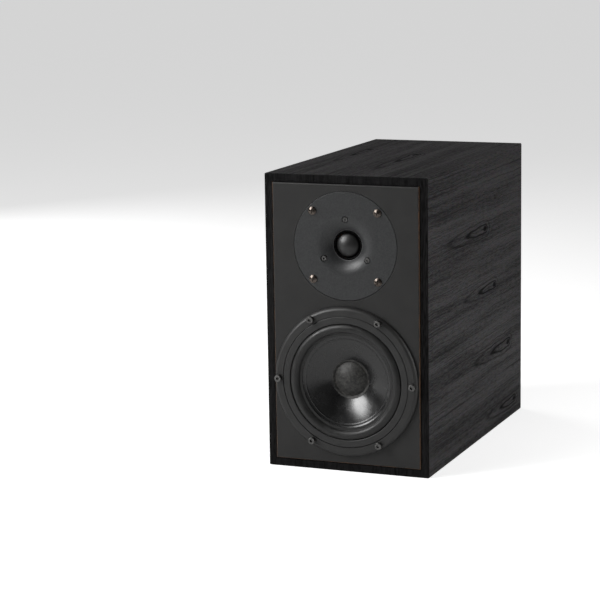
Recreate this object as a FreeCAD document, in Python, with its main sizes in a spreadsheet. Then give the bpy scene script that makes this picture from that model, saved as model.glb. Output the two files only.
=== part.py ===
import FreeCAD, Part
import math
import os
import re

import Sketcher
from FreeCAD import Vector

# A two-way bookshelf loudspeaker with a rear port, in millimetres.
# The front faces -Y, +X is to the right seen from the front, +Z is up.
# The origin is the centre of the cabinet's underside.
# Each driver is drawn about its own Y axis, with y = 0 on the baffle's front face and +y into the box.
# Rear fittings are drawn the same way, with y = 0 on the cabinet's back face and +y out of the box.

SIZES = {
    # cabinet of mitred boards, rebated front and back
    "cab_width": 172,
    "cab_height": 300,
    "cab_depth": 318,
    "wall": 18,
    "lip": 8,
    "arris": 0.8,
    "baffle_thick": 22,
    "baffle_proud": 1.5,
    "baffle_gap": 0.6,
    "baffle_round": 1.4,
    "back_thick": 18,
    "back_gap": 0.3,
    "glue_gap": 0.05,
    "thread_gap": 0.05,
    "hole_gap": 0.25,
    # brace and damping
    "brace_thick": 12,
    "brace_base": 161,
    "brace_front": 62,
    "brace_rim": 24,
    "brace_rear": 34,
    "brace_corner": 14,
    "felt_thick": 5,
    "felt_margin": 12,
    "wadding_base": 74,
    "wadding_side": 12,
    "wadding_front": 128,
    "wadding_rear": 16,
    # woofer
    "woofer_height": 93,
    "gasket_thick": 1,
    "woofer_flange": 76.3,
    "flange_bevel": 3.4,
    "flange_round": 4.4,
    "flange_thick": 4,
    "woofer_cut": 64,
    "ring_outer": 67,
    "ring_thick": 2.2,
    "ring_land": 7.7,
    "roll_width": 9.7,
    "roll_radius": 5,
    "rubber_thick": 0.8,
    "roll_foot": 2.7,
    "cone_rim": 49.3,
    "cone_depth": 15.5,
    "paper_thick": 1.2,
    "cap_edge": 17.7,
    "cap_height": 6,
    "cap_radius": 29.5,
    "cap_thick": 0.6,
    "former_outer": 16.2,
    "former_thick": 0.3,
    "former_length": 34,
    "coil_thick": 1.1,
    "coil_length": 14,
    "coil_gap": 0.6,
    "pole_gap": 0.5,
    "basket_wall": 2.7,
    "shelf_depth": 24,
    "shelf_width": 4,
    "shelf_radius": 50.5,
    "basket_depth": 38,
    "base_thick": 3,
    "spoke_half": 10,
    "top_plate_thick": 5,
    "top_plate_radius": 42,
    "magnet_radius": 45,
    "magnet_bore": 22,
    "magnet_thick": 17,
    "yoke_thick": 5,
    "yoke_vent": 6,
    "bolt_circle": 143,
    "bolt_radius": 1.95,
    "bolt_head": 3.5,
    "bolt_head_tall": 4,
    "bolt_key": 1.73,
    "bolt_key_deep": 2.2,
    "bolt_bite": 12,
    "insert_outer": 3.3,
    "tag_board_width": 36,
    "tag_board_tall": 13,
    "tag_board_thick": 1.6,
    "tag_board_back": 2,
    "tag_spread": 15,
    "tag_width": 4.8,
    "tag_thick": 0.8,
    "tag_length": 8,
    "tinsel_radius": 0.6,
    # tweeter
    "tweeter_drop": 70.2,
    "plate_radius": 54.4,
    "plate_thick": 4,
    "plate_gap": 0.4,
    "boss_radius": 36,
    "boss_deep": 9.3,
    "flare_radius": 31,
    "throat_radius": 15.1,
    "throat_deep": 7.3,
    "flare_curve": 21,
    "dome_radius": 12.9,
    "dome_deep": 9.1,
    "dome_height": 6.4,
    "dome_curve": 16.3,
    "dome_thick": 0.4,
    "silk_land": 19.5,
    "silk_fold": 15.2,
    "tweeter_coil_thick": 0.5,
    "tweeter_coil_length": 4,
    "tweeter_coil_gap": 0.5,
    "tweeter_plate_thick": 4,
    "tweeter_plate_radius": 35.6,
    "tweeter_magnet_radius": 32,
    "tweeter_magnet_bore": 18,
    "tweeter_magnet_thick": 11,
    "tweeter_yoke_thick": 4,
    "cup_radius": 35,
    "cup_wall": 1.5,
    "cup_deep": 18.5,
    "screw_square": 34.3,
    "screw_radius": 1.9,
    "screw_head": 4.15,
    "screw_head_tall": 2.6,
    "screw_bite": 15,
    "clamp_circle": 53,
    "clamp_radius": 1.45,
    "clamp_head": 2.75,
    "clamp_head_tall": 2.4,
    "clamp_key": 1.15,
    "clamp_recess": 3.4,
    "clamp_sink": 2.8,
    "tweeter_hole": 37.5,
    # rear port
    "port_drop": 72,
    "port_radius": 21,
    "port_wall": 2,
    "port_boss": 7,
    "port_length": 98,
    "port_flange_radius": 36,
    "port_flange_thick": 3,
    "port_flare": 9.5,
    "port_spigot": 22,
    # terminal plate and binding posts
    "terminal_height": 64,
    "terminal_half_width": 44,
    "terminal_half_tall": 30,
    "terminal_corner": 6,
    "terminal_thick": 3,
    "terminal_window_width": 29,
    "terminal_window_tall": 17,
    "terminal_screw_across": 37,
    "terminal_screw_up": 23,
    "post_half_pitch": 9.525,
    "stem_radius": 3,
    "stem_inner": 20,
    "stem_outer": 23,
    "socket_radius": 2,
    "socket_length": 12,
    "wire_hole": 1.5,
    "bush_radius": 7.2,
    "bush_thick": 2.2,
    "bush_neck": 4.9,
    "washer_radius": 6.4,
    "washer_thick": 1.2,
    "knob_radius": 8.2,
    "knob_length": 17,
    "knob_gap": 0.06,
    "nut_circle": 5.6,
    "nut_thick": 4,
    # crossover
    "board_width": 96,
    "board_length": 112,
    "board_thick": 1.6,
    "board_front": 128,
    "standoff_tall": 8,
    "standoff_radius": 3.5,
    "standoff_inset": 6,
    "board_screw": 1.4,
    "board_screw_head": 2.8,
    "board_screw_tall": 1.8,
    "choke_radius": 24,
    "choke_bore": 9,
    "choke_tall": 20,
    "small_choke_radius": 15,
    "small_choke_bore": 6,
    "small_choke_tall": 14,
    "choke_side": 3,
    "choke_rear": 12,
    "capacitor_radius": 9,
    "capacitor_length": 38,
    "capacitor_side": 6,
    "capacitor_first": 18,
    "capacitor_step": 20,
    "resistor_long": 26,
    "resistor_wide": 9,
    "resistor_side": 6,
    "resistor_first": 16,
    "resistor_step": 16,
    "lead_radius": 1.2,
    "lead_pitch": 3.2,
    "lead_lift": 0.15,
    "blade_reach": 1,
}

# Places worked out from the sizes.
BAFFLE_FRONT = "(-cab_depth/2 - baffle_proud)"
BACK_FACE = "(cab_depth/2)"
INNER_SIDE = "(cab_width/2 - wall)"
CEILING = "(cab_height - wall)"
TWEETER_HEIGHT = "(cab_height - tweeter_drop)"
PORT_HEIGHT = "(cab_height - port_drop)"
BOARD_TOP = "(wall + standoff_tall + board_thick)"
BOARD_FRONT = "(-cab_depth/2 + board_front)"
BOARD_REAR = f"({BOARD_FRONT} + board_length)"
LEAD_LEVEL = f"({BOARD_TOP} + lead_radius + lead_lift)"

FLANGE_FRONT = "(-gasket_thick - flange_thick)"
RING_BACK = f"({FLANGE_FRONT} + ring_thick)"
SEAT = f"({RING_BACK} + rubber_thick)"
ROLL_OUTER = "(ring_outer - ring_land - 0.1)"
ROLL_INNER = f"({ROLL_OUTER} - roll_width)"
CONE_MOUTH = "(cone_rim - roll_foot - 0.3)"
CONE_NECK = "(former_outer + glue_gap)"
NECK_DEPTH = f"({SEAT} + cone_depth)"
CONE_SLOPE = f"(cone_depth/({CONE_MOUTH} - {CONE_NECK}))"
CAP_SEAT = f"({NECK_DEPTH} - (cap_edge - {CONE_NECK})*{CONE_SLOPE} - 0.02)"
PLATE_BACK = "(basket_depth + top_plate_thick)"
MAGNET_BACK = f"({PLATE_BACK} + magnet_thick)"
COIL_START = "(basket_depth + top_plate_thick/2 - coil_length/2)"
PLATE_BORE = "(former_outer + coil_thick + coil_gap)"
POLE_RADIUS = "(former_outer - former_thick - pole_gap)"
TAG_BOARD_FACE = f"({BAFFLE_FRONT} + shelf_depth + basket_wall + tag_board_back)"
TAG_BOARD_TOP = "(woofer_height - shelf_radius + 1)"
BLADE_HEIGHT = f"({TAG_BOARD_TOP} - tag_board_tall/2)"

TWEETER_PLATE_BACK = "(boss_deep + tweeter_plate_thick)"
TWEETER_MAGNET_BACK = f"({TWEETER_PLATE_BACK} + tweeter_magnet_thick)"
TWEETER_BORE = "(dome_radius + tweeter_coil_gap)"
TWEETER_POLE = "(dome_radius - tweeter_coil_thick - tweeter_coil_gap)"
CUP_BACK = f"({TWEETER_PLATE_BACK} + cup_deep)"

PLATE_FACE = "(gasket_thick + terminal_thick)"
BUSH_FACE = f"({PLATE_FACE} + bush_thick)"
WASHER_FACE = f"({BUSH_FACE} + washer_thick)"

WOOFER = ("0", BAFFLE_FRONT, "woofer_height")
TWEETER = ("0", BAFFLE_FRONT, TWEETER_HEIGHT)
PORT = ("0", BACK_FACE, PORT_HEIGHT)
TERMINALS = ("0", BACK_FACE, "terminal_height")

LEFT = 1
RIGHT = -1

doc = FreeCAD.newDocument("bookshelf_speaker")
sheet = doc.addObject("Spreadsheet::Sheet", "Sizes")
for row, (size_name, size) in enumerate(SIZES.items(), start=1):
    sheet.set(f"A{row}", size_name)
    sheet.set(f"B{row}", str(size))
    sheet.setAlias(f"B{row}", size_name)
doc.recompute()

nodes = {}


# ---------------------------------------------------------------- helpers

def formula(text):
    """Point each size name in an expression at its cell."""
    return re.sub(r"[a-z_]+", lambda name: "Sizes." + name[0] if name[0] in SIZES else name[0], text)


def value(text):
    """The number that an expression gives now."""
    return float(sheet.evalExpression(formula(text)))


def place(piece, at):
    """Bind a piece's position to three expressions."""
    for axis, text in zip("xyz", at):
        piece.setExpression(f"Placement.Base.{axis}", formula(text))


def node(label, piece):
    """Name a finished piece and list it for export."""
    piece.Label = label
    nodes[label] = piece
    return piece


def polar(radius, degrees):
    """Two expressions for a point at an angle on a circle."""
    angle = math.radians(degrees)
    return f"({radius})*{math.cos(angle):.6f}", f"({radius})*{math.sin(angle):.6f}"


def new_body(name, at=("0", "0", "0")):
    body = doc.addObject("PartDesign::Body", name)
    body.AllowCompound = True
    place(body, at)
    return body


def new_sketch(body, plane_role, start="0"):
    """A sketch on an origin plane, moved along the plane's row axis to start."""
    sketch = body.newObject("Sketcher::SketchObject", body.Name + "_sketch")
    plane = next(item for item in body.Origin.OriginFeatures if item.Role == plane_role)
    sketch.AttachmentSupport = [(plane, "")]
    sketch.MapMode = "FlatFace"
    sign = "-1" if plane_role == "XZ_Plane" else "1"
    sketch.setExpression("AttachmentOffset.Base.z", formula(f"{sign}*({start})"))
    return sketch


def arc_between(start, end, radius, side):
    """The arc from start to end that bulges to one side of the way there."""
    half = (end - start) * 0.5
    across = Vector(-half.y, half.x, 0).normalize() * side
    centre = start + half - across * math.sqrt(max(radius ** 2 - half.Length ** 2, 0))
    angles = [math.atan2(spot.y - centre.y, spot.x - centre.x) for spot in (start, end)]
    if side == LEFT:
        angles.reverse()
    if angles[1] < angles[0]:
        angles[1] += 2 * math.pi
    return Part.ArcOfCircle(Part.Circle(centre, Vector(0, 0, 1), radius), angles[0], angles[1])


def outline(sketch, points):
    """Draw a closed outline. A point is (x, y), or (x, y, radius, side) where an arc starts."""
    first = sketch.GeometryCount
    spots = [Vector(value(point[0]), value(point[1]), 0) for point in points]
    starts = []
    ends = []
    for index, point in enumerate(points):
        start = spots[index]
        end = spots[(index + 1) % len(points)]
        curved = len(point) == 4
        if curved:
            sketch.addGeometry(arc_between(start, end, value(point[2]), point[3]))
        else:
            sketch.addGeometry(Part.LineSegment(start, end))
        backwards = curved and point[3] == LEFT
        starts.append(2 if backwards else 1)
        ends.append(1 if backwards else 2)
    for index, point in enumerate(points):
        edge = first + index
        following = (index + 1) % len(points)
        sketch.addConstraint(
            Sketcher.Constraint("Coincident", edge, ends[index], first + following, starts[following]))
        for kind, text in (("DistanceX", point[0]), ("DistanceY", point[1])):
            tie = sketch.addConstraint(Sketcher.Constraint(kind, -1, 1, edge, starts[index], value(text)))
            sketch.setExpression(f"Constraints[{tie}]", formula(text))
        if len(point) == 4:
            tie = sketch.addConstraint(Sketcher.Constraint("Radius", edge, value(point[2])))
            sketch.setExpression(f"Constraints[{tie}]", formula(point[2]))


def circle(sketch, x, y, radius):
    """Draw a circle whose centre and radius are bound."""
    edge = sketch.addGeometry(Part.Circle(Vector(value(x), value(y), 0), Vector(0, 0, 1), value(radius)))
    for kind, text in (("DistanceX", x), ("DistanceY", y)):
        tie = sketch.addConstraint(Sketcher.Constraint(kind, -1, 1, edge, 3, value(text)))
        sketch.setExpression(f"Constraints[{tie}]", formula(text))
    tie = sketch.addConstraint(Sketcher.Constraint("Radius", edge, value(radius)))
    sketch.setExpression(f"Constraints[{tie}]", formula(radius))


def rectangle(x_low, x_high, y_low, y_high):
    return [(x_low, y_low), (x_high, y_low), (x_high, y_high), (x_low, y_high)]


def rounded(x_low, x_high, y_low, y_high, corner):
    """A rectangle's outline with a quarter arc at each corner."""
    left = f"{x_low} + {corner}"
    right = f"{x_high} - {corner}"
    low = f"{y_low} + {corner}"
    high = f"{y_high} - {corner}"
    return [(left, y_low), (right, y_low, corner, RIGHT), (x_high, low), (x_high, high, corner, RIGHT),
            (right, y_high), (left, y_high, corner, RIGHT), (x_low, high), (x_low, low, corner, RIGHT)]


def draw(sketch, outlines=(), circles=()):
    for points in outlines:
        outline(sketch, points)
    for x, y, radius in circles:
        circle(sketch, x, y, radius)


def pad(body, plane_role, length, outlines=(), circles=(), start="0"):
    """Add a slab that runs from start along the plane's row axis."""
    sketch = new_sketch(body, plane_role, start)
    draw(sketch, outlines, circles)
    feature = body.newObject("PartDesign::Pad", body.Name + "_pad")
    feature.Profile = sketch
    feature.setExpression("Length", formula(length))
    feature.Reversed = plane_role == "XZ_Plane"
    doc.recompute()
    return feature


def pocket(body, plane_role, length, outlines=(), circles=(), start="0"):
    """Cut from start along the plane's row axis, and make sure that something was cut."""
    before = body.Shape.Volume
    sketch = new_sketch(body, plane_role, start)
    draw(sketch, outlines, circles)
    feature = body.newObject("PartDesign::Pocket", body.Name + "_pocket")
    feature.Profile = sketch
    feature.setExpression("Length", formula(length))
    feature.Reversed = plane_role != "XZ_Plane"
    doc.recompute()
    if not body.Shape.Volume < before - 1e-6:
        raise RuntimeError(f"{feature.Name} cuts nothing")
    return feature


def revolve(body, points):
    """Turn an outline of (radius, y) about the body's Y axis."""
    sketch = new_sketch(body, "XY_Plane")
    outline(sketch, points)
    feature = body.newObject("PartDesign::Revolution", body.Name + "_turn")
    feature.Profile = sketch
    feature.ReferenceAxis = (sketch, ["V_Axis"])
    feature.Angle = 360
    doc.recompute()
    return feature


def turned(label, at, points):
    body = new_body(label, at)
    revolve(body, points)
    return node(label, body)


def tube(label, at, inner, outer, y_low, y_high):
    """A plain round tube along Y."""
    return turned(label, at, [(inner, y_low), (outer, y_low), (outer, y_high), (inner, y_high)])


def block(name, x_range, y_range, z_range):
    """A rectangular block between bound limits."""
    box = doc.addObject("Part::Box", name)
    for side, (low, high) in zip(("Length", "Width", "Height"), (x_range, y_range, z_range)):
        box.setExpression(side, formula(f"({high}) - ({low})"))
    place(box, (x_range[0], y_range[0], z_range[0]))
    return box


def upright(name, radius, height, at):
    """A round bar standing along Z."""
    bar = doc.addObject("Part::Cylinder", name)
    bar.setExpression("Radius", formula(radius))
    bar.setExpression("Height", formula(height))
    place(bar, at)
    return bar


def joined(name, kind, base, tool):
    """A boolean of two objects."""
    result = doc.addObject(kind, name)
    result.Base = base
    result.Tool = tool
    return result


def group(label, pieces):
    """Several separate solids that share one node."""
    doc.recompute()
    compound = doc.addObject("Part::Compound", label)
    compound.Links = pieces
    return node(label, compound)


def edges_on(feature, test):
    """Names of the edges whose every corner passes a test."""
    return [f"Edge{index}" for index, edge in enumerate(feature.Shape.Edges, start=1)
            if all(test(corner.Point) for corner in edge.Vertexes)]


def polar_spots(circle_size, count, first_degrees):
    """Points spread evenly round a circle of the given diameter."""
    return [polar(f"{circle_size}/2", first_degrees + 360 / count * index) for index in range(count)]


def corner_spots(across, up):
    """The four corners of a rectangle given by its half sizes."""
    return [(f"{x}*({across})", f"{y}*({up})") for x in (-1, 1) for y in (-1, 1)]


# ---------------------------------------------------------------- cabinet

def cabinet_corner(index, inset):
    """A corner of the cabinet's front view, moved in by inset."""
    x_sign = "-1" if index in (0, 3) else "1"
    low = index in (0, 1)
    return f"{x_sign}*(cab_width/2 - {inset})", inset if low else f"cab_height - {inset}"


def arris_corner(index, along):
    """The end of the small flat at a corner, along X or along Z."""
    x_sign = "-1" if index in (0, 3) else "1"
    low = index in (0, 1)
    if along == "x":
        return f"{x_sign}*(cab_width/2 - arris)", "0" if low else "cab_height"
    return f"{x_sign}*cab_width/2", "arris" if low else "cab_height - arris"


def cabinet_board(label, index):
    """One mitred board: a full-depth outer layer, and an inner layer that stops at both rebates."""
    here = index
    there = (index + 1) % 4
    along = "x" if index in (0, 2) else "z"
    body = new_body(label)
    outer = [cabinet_corner(here, "arris/2"), arris_corner(here, along), arris_corner(there, along),
             cabinet_corner(there, "arris/2"), cabinet_corner(there, "lip"), cabinet_corner(here, "lip")]
    inner = [cabinet_corner(here, "lip"), cabinet_corner(there, "lip"),
             cabinet_corner(there, "wall"), cabinet_corner(here, "wall")]
    pad(body, "XZ_Plane", "cab_depth", [outer], start="-cab_depth/2")
    rebate = "(baffle_thick - baffle_proud)"
    pad(body, "XZ_Plane", f"cab_depth - {rebate} - back_thick", [inner], start=f"-cab_depth/2 + {rebate}")
    return node(label, body)


def front_baffle():
    """The thick front board, eased round its front edge and cut for both drivers."""
    body = new_body("front_baffle", ("0", BAFFLE_FRONT, "0"))
    half = "(cab_width/2 - lip - baffle_gap)"
    edge = "(lip + baffle_gap)"
    board = pad(body, "XZ_Plane", "baffle_thick",
                [rectangle(f"-{half}", half, edge, f"cab_height - {edge}")])
    rounding = body.newObject("PartDesign::Fillet", "baffle_rounding")
    rounding.Base = (board, edges_on(board, lambda point: abs(point.y) < 1e-6))
    rounding.setExpression("Radius", formula("baffle_round"))
    doc.recompute()
    pocket(body, "XZ_Plane", "baffle_thick", circles=[("0", "woofer_height", "woofer_cut")])
    inserts = [(x, f"woofer_height + {z}", "insert_outer + glue_gap")
               for x, z in polar_spots("bolt_circle", 6, 0)]
    pocket(body, "XZ_Plane", "bolt_bite + 2", circles=inserts)
    pocket(body, "XZ_Plane", "plate_thick", circles=[("0", TWEETER_HEIGHT, "plate_radius + plate_gap")])
    pocket(body, "XZ_Plane", "baffle_thick", circles=[("0", TWEETER_HEIGHT, "tweeter_hole")])
    pilots = [(x, f"{TWEETER_HEIGHT} + {z}", "screw_radius + thread_gap")
              for x, z in corner_spots("screw_square", "screw_square")]
    pocket(body, "XZ_Plane", "screw_bite + 1", circles=pilots)
    return node("front_baffle", body)


def back_panel():
    """The back board with the port's hole and the terminal plate's window."""
    body = new_body("back_panel")
    half = "(cab_width/2 - lip - back_gap)"
    edge = "(lip + back_gap)"
    start = "cab_depth/2 - back_thick"
    pad(body, "XZ_Plane", "back_thick",
        [rectangle(f"-{half}", half, edge, f"cab_height - {edge}")], start=start)
    pocket(body, "XZ_Plane", "back_thick", start=start,
           circles=[("0", PORT_HEIGHT, "port_radius + port_boss + hole_gap")])
    pocket(body, "XZ_Plane", "back_thick", start=start, outlines=[
        rounded("-terminal_window_width", "terminal_window_width",
                "terminal_height - terminal_window_tall", "terminal_height + terminal_window_tall",
                "terminal_corner")])
    pilots = [(x, f"terminal_height + {z}", "board_screw + thread_gap")
              for x, z in corner_spots("terminal_screw_across", "terminal_screw_up")]
    pocket(body, "XZ_Plane", "back_thick - 3", start="cab_depth/2 - back_thick + 3", circles=pilots)
    return node("back_panel", body)


def window_brace():
    """A level frame that ties the side boards together between the two drivers."""
    front = "(-cab_depth/2 + brace_front)"
    rear = "(cab_depth/2 - brace_rear)"
    body = new_body("window_brace")
    window = rounded(f"-{INNER_SIDE} + brace_rim", f"{INNER_SIDE} - brace_rim",
                     f"{front} + brace_rim", f"{rear} - brace_rim", "brace_corner")
    pad(body, "XY_Plane", "brace_thick", start="brace_base",
        outlines=[rectangle(f"-{INNER_SIDE}", INNER_SIDE, front, rear), window])
    return node("window_brace", body)


def wall_felts():
    """Felt sheets glued to both side boards below and above the brace, and under the top board."""
    y_range = ("-cab_depth/2 + brace_front + felt_margin", "cab_depth/2 - brace_rear - felt_margin")
    low_range = ("terminal_height", "brace_base - felt_margin")
    high_range = ("brace_base + brace_thick + felt_margin", f"{CEILING} - felt_margin")
    pieces = []
    for side, limits in (("left", (f"-{INNER_SIDE}", f"-{INNER_SIDE} + felt_thick")),
                         ("right", (f"{INNER_SIDE} - felt_thick", INNER_SIDE))):
        for level, z_range in (("low", low_range), ("high", high_range)):
            pieces.append(block(f"felt_{side}_{level}", limits, y_range, z_range))
    half = f"({INNER_SIDE} - felt_margin)"
    pieces.append(block("felt_top", (f"-{half}", half), y_range, (f"{CEILING} - felt_thick", CEILING)))
    return group("damping_felt", pieces)


def acoustic_wadding():
    """A loose pad of fibre that fills the box behind the woofer, above the crossover."""
    half = f"({INNER_SIDE} - wadding_side)"
    pad_block = block("acoustic_wadding", (f"-{half}", half),
                      ("-cab_depth/2 + wadding_front", "cab_depth/2 - back_thick - wadding_rear"),
                      ("wadding_base", "brace_base - felt_margin"))
    return node("acoustic_wadding", pad_block)


# ---------------------------------------------------------------- woofer

def woofer_gasket():
    body = new_body("woofer_gasket", WOOFER)
    holes = [(x, z, "bolt_radius + hole_gap") for x, z in polar_spots("bolt_circle", 6, 0)]
    pad(body, "XZ_Plane", "gasket_thick", start="-gasket_thick",
        circles=[("0", "0", "woofer_flange - 1"), ("0", "0", "woofer_cut + 0.5")] + holes)
    return node("woofer_gasket", body)


def woofer_basket():
    """The cast frame: flange, seat, windowed wall, spider shelf and base."""
    body = new_body("woofer_basket", WOOFER)
    seat_inner = f"({ROLL_OUTER} + 0.6)"
    revolve(body, [
        ("woofer_flange", "-gasket_thick", "flange_round", LEFT),
        ("woofer_flange - flange_bevel", FLANGE_FRONT),
        ("ring_outer", FLANGE_FRONT),
        ("ring_outer", SEAT),
        (seat_inner, SEAT),
        (seat_inner, "shelf_depth/6"),
        ("shelf_radius", "shelf_depth - rubber_thick"),
        ("shelf_radius", "shelf_depth"),
        ("shelf_radius - shelf_width", "shelf_depth"),
        ("shelf_radius - shelf_width", "basket_depth - base_thick"),
        ("former_outer + shelf_width", "basket_depth - base_thick"),
        ("former_outer + shelf_width", "basket_depth"),
        ("shelf_radius - 1", "basket_depth"),
        ("shelf_radius - 1", "shelf_depth + basket_wall"),
        (f"{seat_inner} + basket_wall", "shelf_depth/4"),
        (f"{seat_inner} + basket_wall", "-gasket_thick"),
    ])
    holes = [(x, z, "bolt_radius + hole_gap") for x, z in polar_spots("bolt_circle", 6, 0)]
    pocket(body, "XZ_Plane", "flange_thick + 2", start=f"{FLANGE_FRONT} - 1", circles=holes)
    half_angle = 30 - SIZES["spoke_half"]
    windows = []
    for middle in range(0, 360, 60):
        windows.append([polar("shelf_radius + 4", middle - half_angle),
                        polar(f"{seat_inner} + basket_wall/2", middle - half_angle),
                        polar(f"{seat_inner} + basket_wall/2", middle + half_angle),
                        polar("shelf_radius + 4", middle + half_angle)])
    pocket(body, "XZ_Plane", "shelf_depth", start="shelf_depth/4", outlines=windows)
    return node("woofer_basket", body)


def woofer_surround():
    """The rubber half roll between the frame and the cone, with a flat foot on each side."""
    inner_foot = f"({ROLL_INNER} - roll_foot)"
    turned("woofer_surround", WOOFER, [
        ("ring_outer - 0.3", SEAT),
        ("ring_outer - 0.3", RING_BACK),
        (ROLL_OUTER, RING_BACK, "roll_radius", LEFT),
        (ROLL_INNER, RING_BACK),
        (inner_foot, RING_BACK),
        (inner_foot, SEAT),
        (f"{ROLL_INNER} + rubber_thick", SEAT, "roll_radius - rubber_thick", RIGHT),
        (f"{ROLL_OUTER} - rubber_thick", SEAT),
    ])


def woofer_trim_ring():
    inner = "(ring_outer - ring_land)"
    turned("woofer_trim_ring", WOOFER, [
        (inner, RING_BACK),
        ("ring_outer - 0.2", RING_BACK),
        ("ring_outer - 0.2", f"{FLANGE_FRONT} + 0.5"),
        ("ring_outer - 0.7", FLANGE_FRONT),
        (f"{inner} + 1", FLANGE_FRONT),
        (inner, f"{FLANGE_FRONT} + 1"),
    ])


def woofer_cone():
    turned("woofer_cone", WOOFER, [
        ("cone_rim", SEAT),
        (CONE_MOUTH, SEAT),
        (CONE_NECK, NECK_DEPTH),
        (CONE_NECK, f"{NECK_DEPTH} + paper_thick"),
        (f"{CONE_MOUTH} - 0.4", f"{SEAT} + paper_thick"),
        ("cone_rim", f"{SEAT} + paper_thick"),
    ])


def woofer_dust_cap():
    turned("woofer_dust_cap", WOOFER, [
        ("0", f"{CAP_SEAT} - cap_height", "cap_radius", RIGHT),
        ("cap_edge", CAP_SEAT),
        ("cap_edge - cap_thick", CAP_SEAT, "cap_radius - cap_thick", LEFT),
        ("0", f"{CAP_SEAT} - cap_height + cap_thick"),
    ])


def woofer_motor():
    """Voice coil on its former, top plate, ring magnet and vented yoke."""
    tube("woofer_coil_former", WOOFER, "former_outer - former_thick", "former_outer",
         f"{NECK_DEPTH} - 0.4", f"{NECK_DEPTH} + former_length")
    tube("woofer_voice_coil", WOOFER, "former_outer", "former_outer + coil_thick",
         COIL_START, f"{COIL_START} + coil_length")
    tube("woofer_top_plate", WOOFER, PLATE_BORE, "top_plate_radius", "basket_depth", PLATE_BACK)
    tube("woofer_magnet", WOOFER, "magnet_bore", "magnet_radius", PLATE_BACK, MAGNET_BACK)
    turned("woofer_yoke", WOOFER, [
        ("yoke_vent", "basket_depth"),
        (POLE_RADIUS, "basket_depth"),
        (POLE_RADIUS, MAGNET_BACK),
        ("top_plate_radius", MAGNET_BACK),
        ("top_plate_radius", f"{MAGNET_BACK} + yoke_thick - 1.5"),
        ("top_plate_radius - 1.5", f"{MAGNET_BACK} + yoke_thick"),
        ("yoke_vent", f"{MAGNET_BACK} + yoke_thick"),
    ])


def woofer_spider():
    """The corrugated cloth disc that centres the coil, with a flat land on the shelf."""
    waves = 7
    inner = "(former_outer + glue_gap)"
    land = "(shelf_radius - shelf_width - 0.5)"
    front = []
    back = []
    for step in range(waves * 2 + 1):
        radius = f"{inner} + ({land} - {inner})*{step / (waves * 2):.4f}"
        rise = "0" if step % 2 == 0 else "1.6"
        front.append((radius, f"shelf_depth - rubber_thick - {rise}"))
        back.insert(0, (radius, f"shelf_depth - {rise}"))
    edge = "(shelf_radius - 0.2)"
    turned("woofer_spider", WOOFER,
           front + [(edge, "shelf_depth - rubber_thick"), (edge, "shelf_depth")] + back)


def cap_bolt(name, at, head, head_tall, key, key_deep, shank, bite):
    """A socket-cap bolt along Y, with the underside of its head at y = 0."""
    body = new_body(name, at)
    revolve(body, [("0", f"-{head_tall}"), (f"{head} - 0.4", f"-{head_tall}"), (head, f"-{head_tall} + 0.4"),
                   (head, "0"), (shank, "0"), (shank, f"{bite} - 0.5"), (f"{shank} - 0.5", bite),
                   ("0", bite)])
    pocket(body, "XZ_Plane", key_deep, start=f"-{head_tall}",
           outlines=[[polar(key, 60 * index) for index in range(6)]])
    return body


def pan_screw(name, at, head, head_tall, shank, bite, recess):
    """A domed cross-recess screw along Y, with the underside of its head at y = 0."""
    body = new_body(name, at)
    edge = f"{head_tall}*0.35"
    revolve(body, [("0", f"-{head_tall}", f"{head}*1.9", RIGHT), (head, f"-({edge})"), (head, "0"),
                   (shank, "0"), (shank, f"{bite} - {shank}"), ("0", bite)])
    arm = f"{recess}*0.16"
    pocket(body, "XZ_Plane", f"{head_tall}*0.7", start=f"-{head_tall}", outlines=[[
        (f"-{arm}", f"-{recess}"), (arm, f"-{recess}"), (arm, f"-{arm}"), (recess, f"-{arm}"),
        (recess, arm), (arm, arm), (arm, recess), (f"-{arm}", recess),
        (f"-{arm}", arm), (f"-{recess}", arm), (f"-{recess}", f"-{arm}"), (f"-{arm}", f"-{arm}")]])
    return body


def woofer_fasteners():
    bolts = []
    inserts = []
    for index, (x, z) in enumerate(polar_spots("bolt_circle", 6, 0)):
        height = f"woofer_height + {z}"
        bolts.append(cap_bolt(f"woofer_bolt_{index}", (x, f"{BAFFLE_FRONT} + {FLANGE_FRONT}", height),
                              "bolt_head", "bolt_head_tall", "bolt_key", "bolt_key_deep",
                              "bolt_radius", "(bolt_bite - gasket_thick)"))
        insert = new_body(f"woofer_insert_{index}", (x, BAFFLE_FRONT, height))
        revolve(insert, [("bolt_radius + thread_gap", "0"), ("insert_outer", "0"),
                         ("insert_outer", "bolt_bite + 1"), ("bolt_radius + thread_gap", "bolt_bite + 1")])
        inserts.append(insert)
    group("woofer_bolts", bolts)
    group("woofer_inserts", inserts)


def woofer_terminals():
    """A fibre tag board on the frame's lowest spoke, with two solder blades."""
    start = f"({TAG_BOARD_FACE} + tag_board_thick)"
    board = block("woofer_tag_board", ("-tag_board_width/2", "tag_board_width/2"),
                  (TAG_BOARD_FACE, start), (f"{TAG_BOARD_TOP} - tag_board_tall", TAG_BOARD_TOP))
    node("woofer_tag_board", board)
    blades = []
    for side, x in (("left", "-tag_spread"), ("right", "tag_spread")):
        blades.append(block(f"woofer_blade_{side}", (f"{x} - tag_width/2", f"{x} + tag_width/2"),
                            (start, f"{start} + tag_length"),
                            (f"{BLADE_HEIGHT} - tag_thick/2", f"{BLADE_HEIGHT} + tag_thick/2")))
    group("woofer_terminals", blades)


# ---------------------------------------------------------------- tweeter

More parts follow.
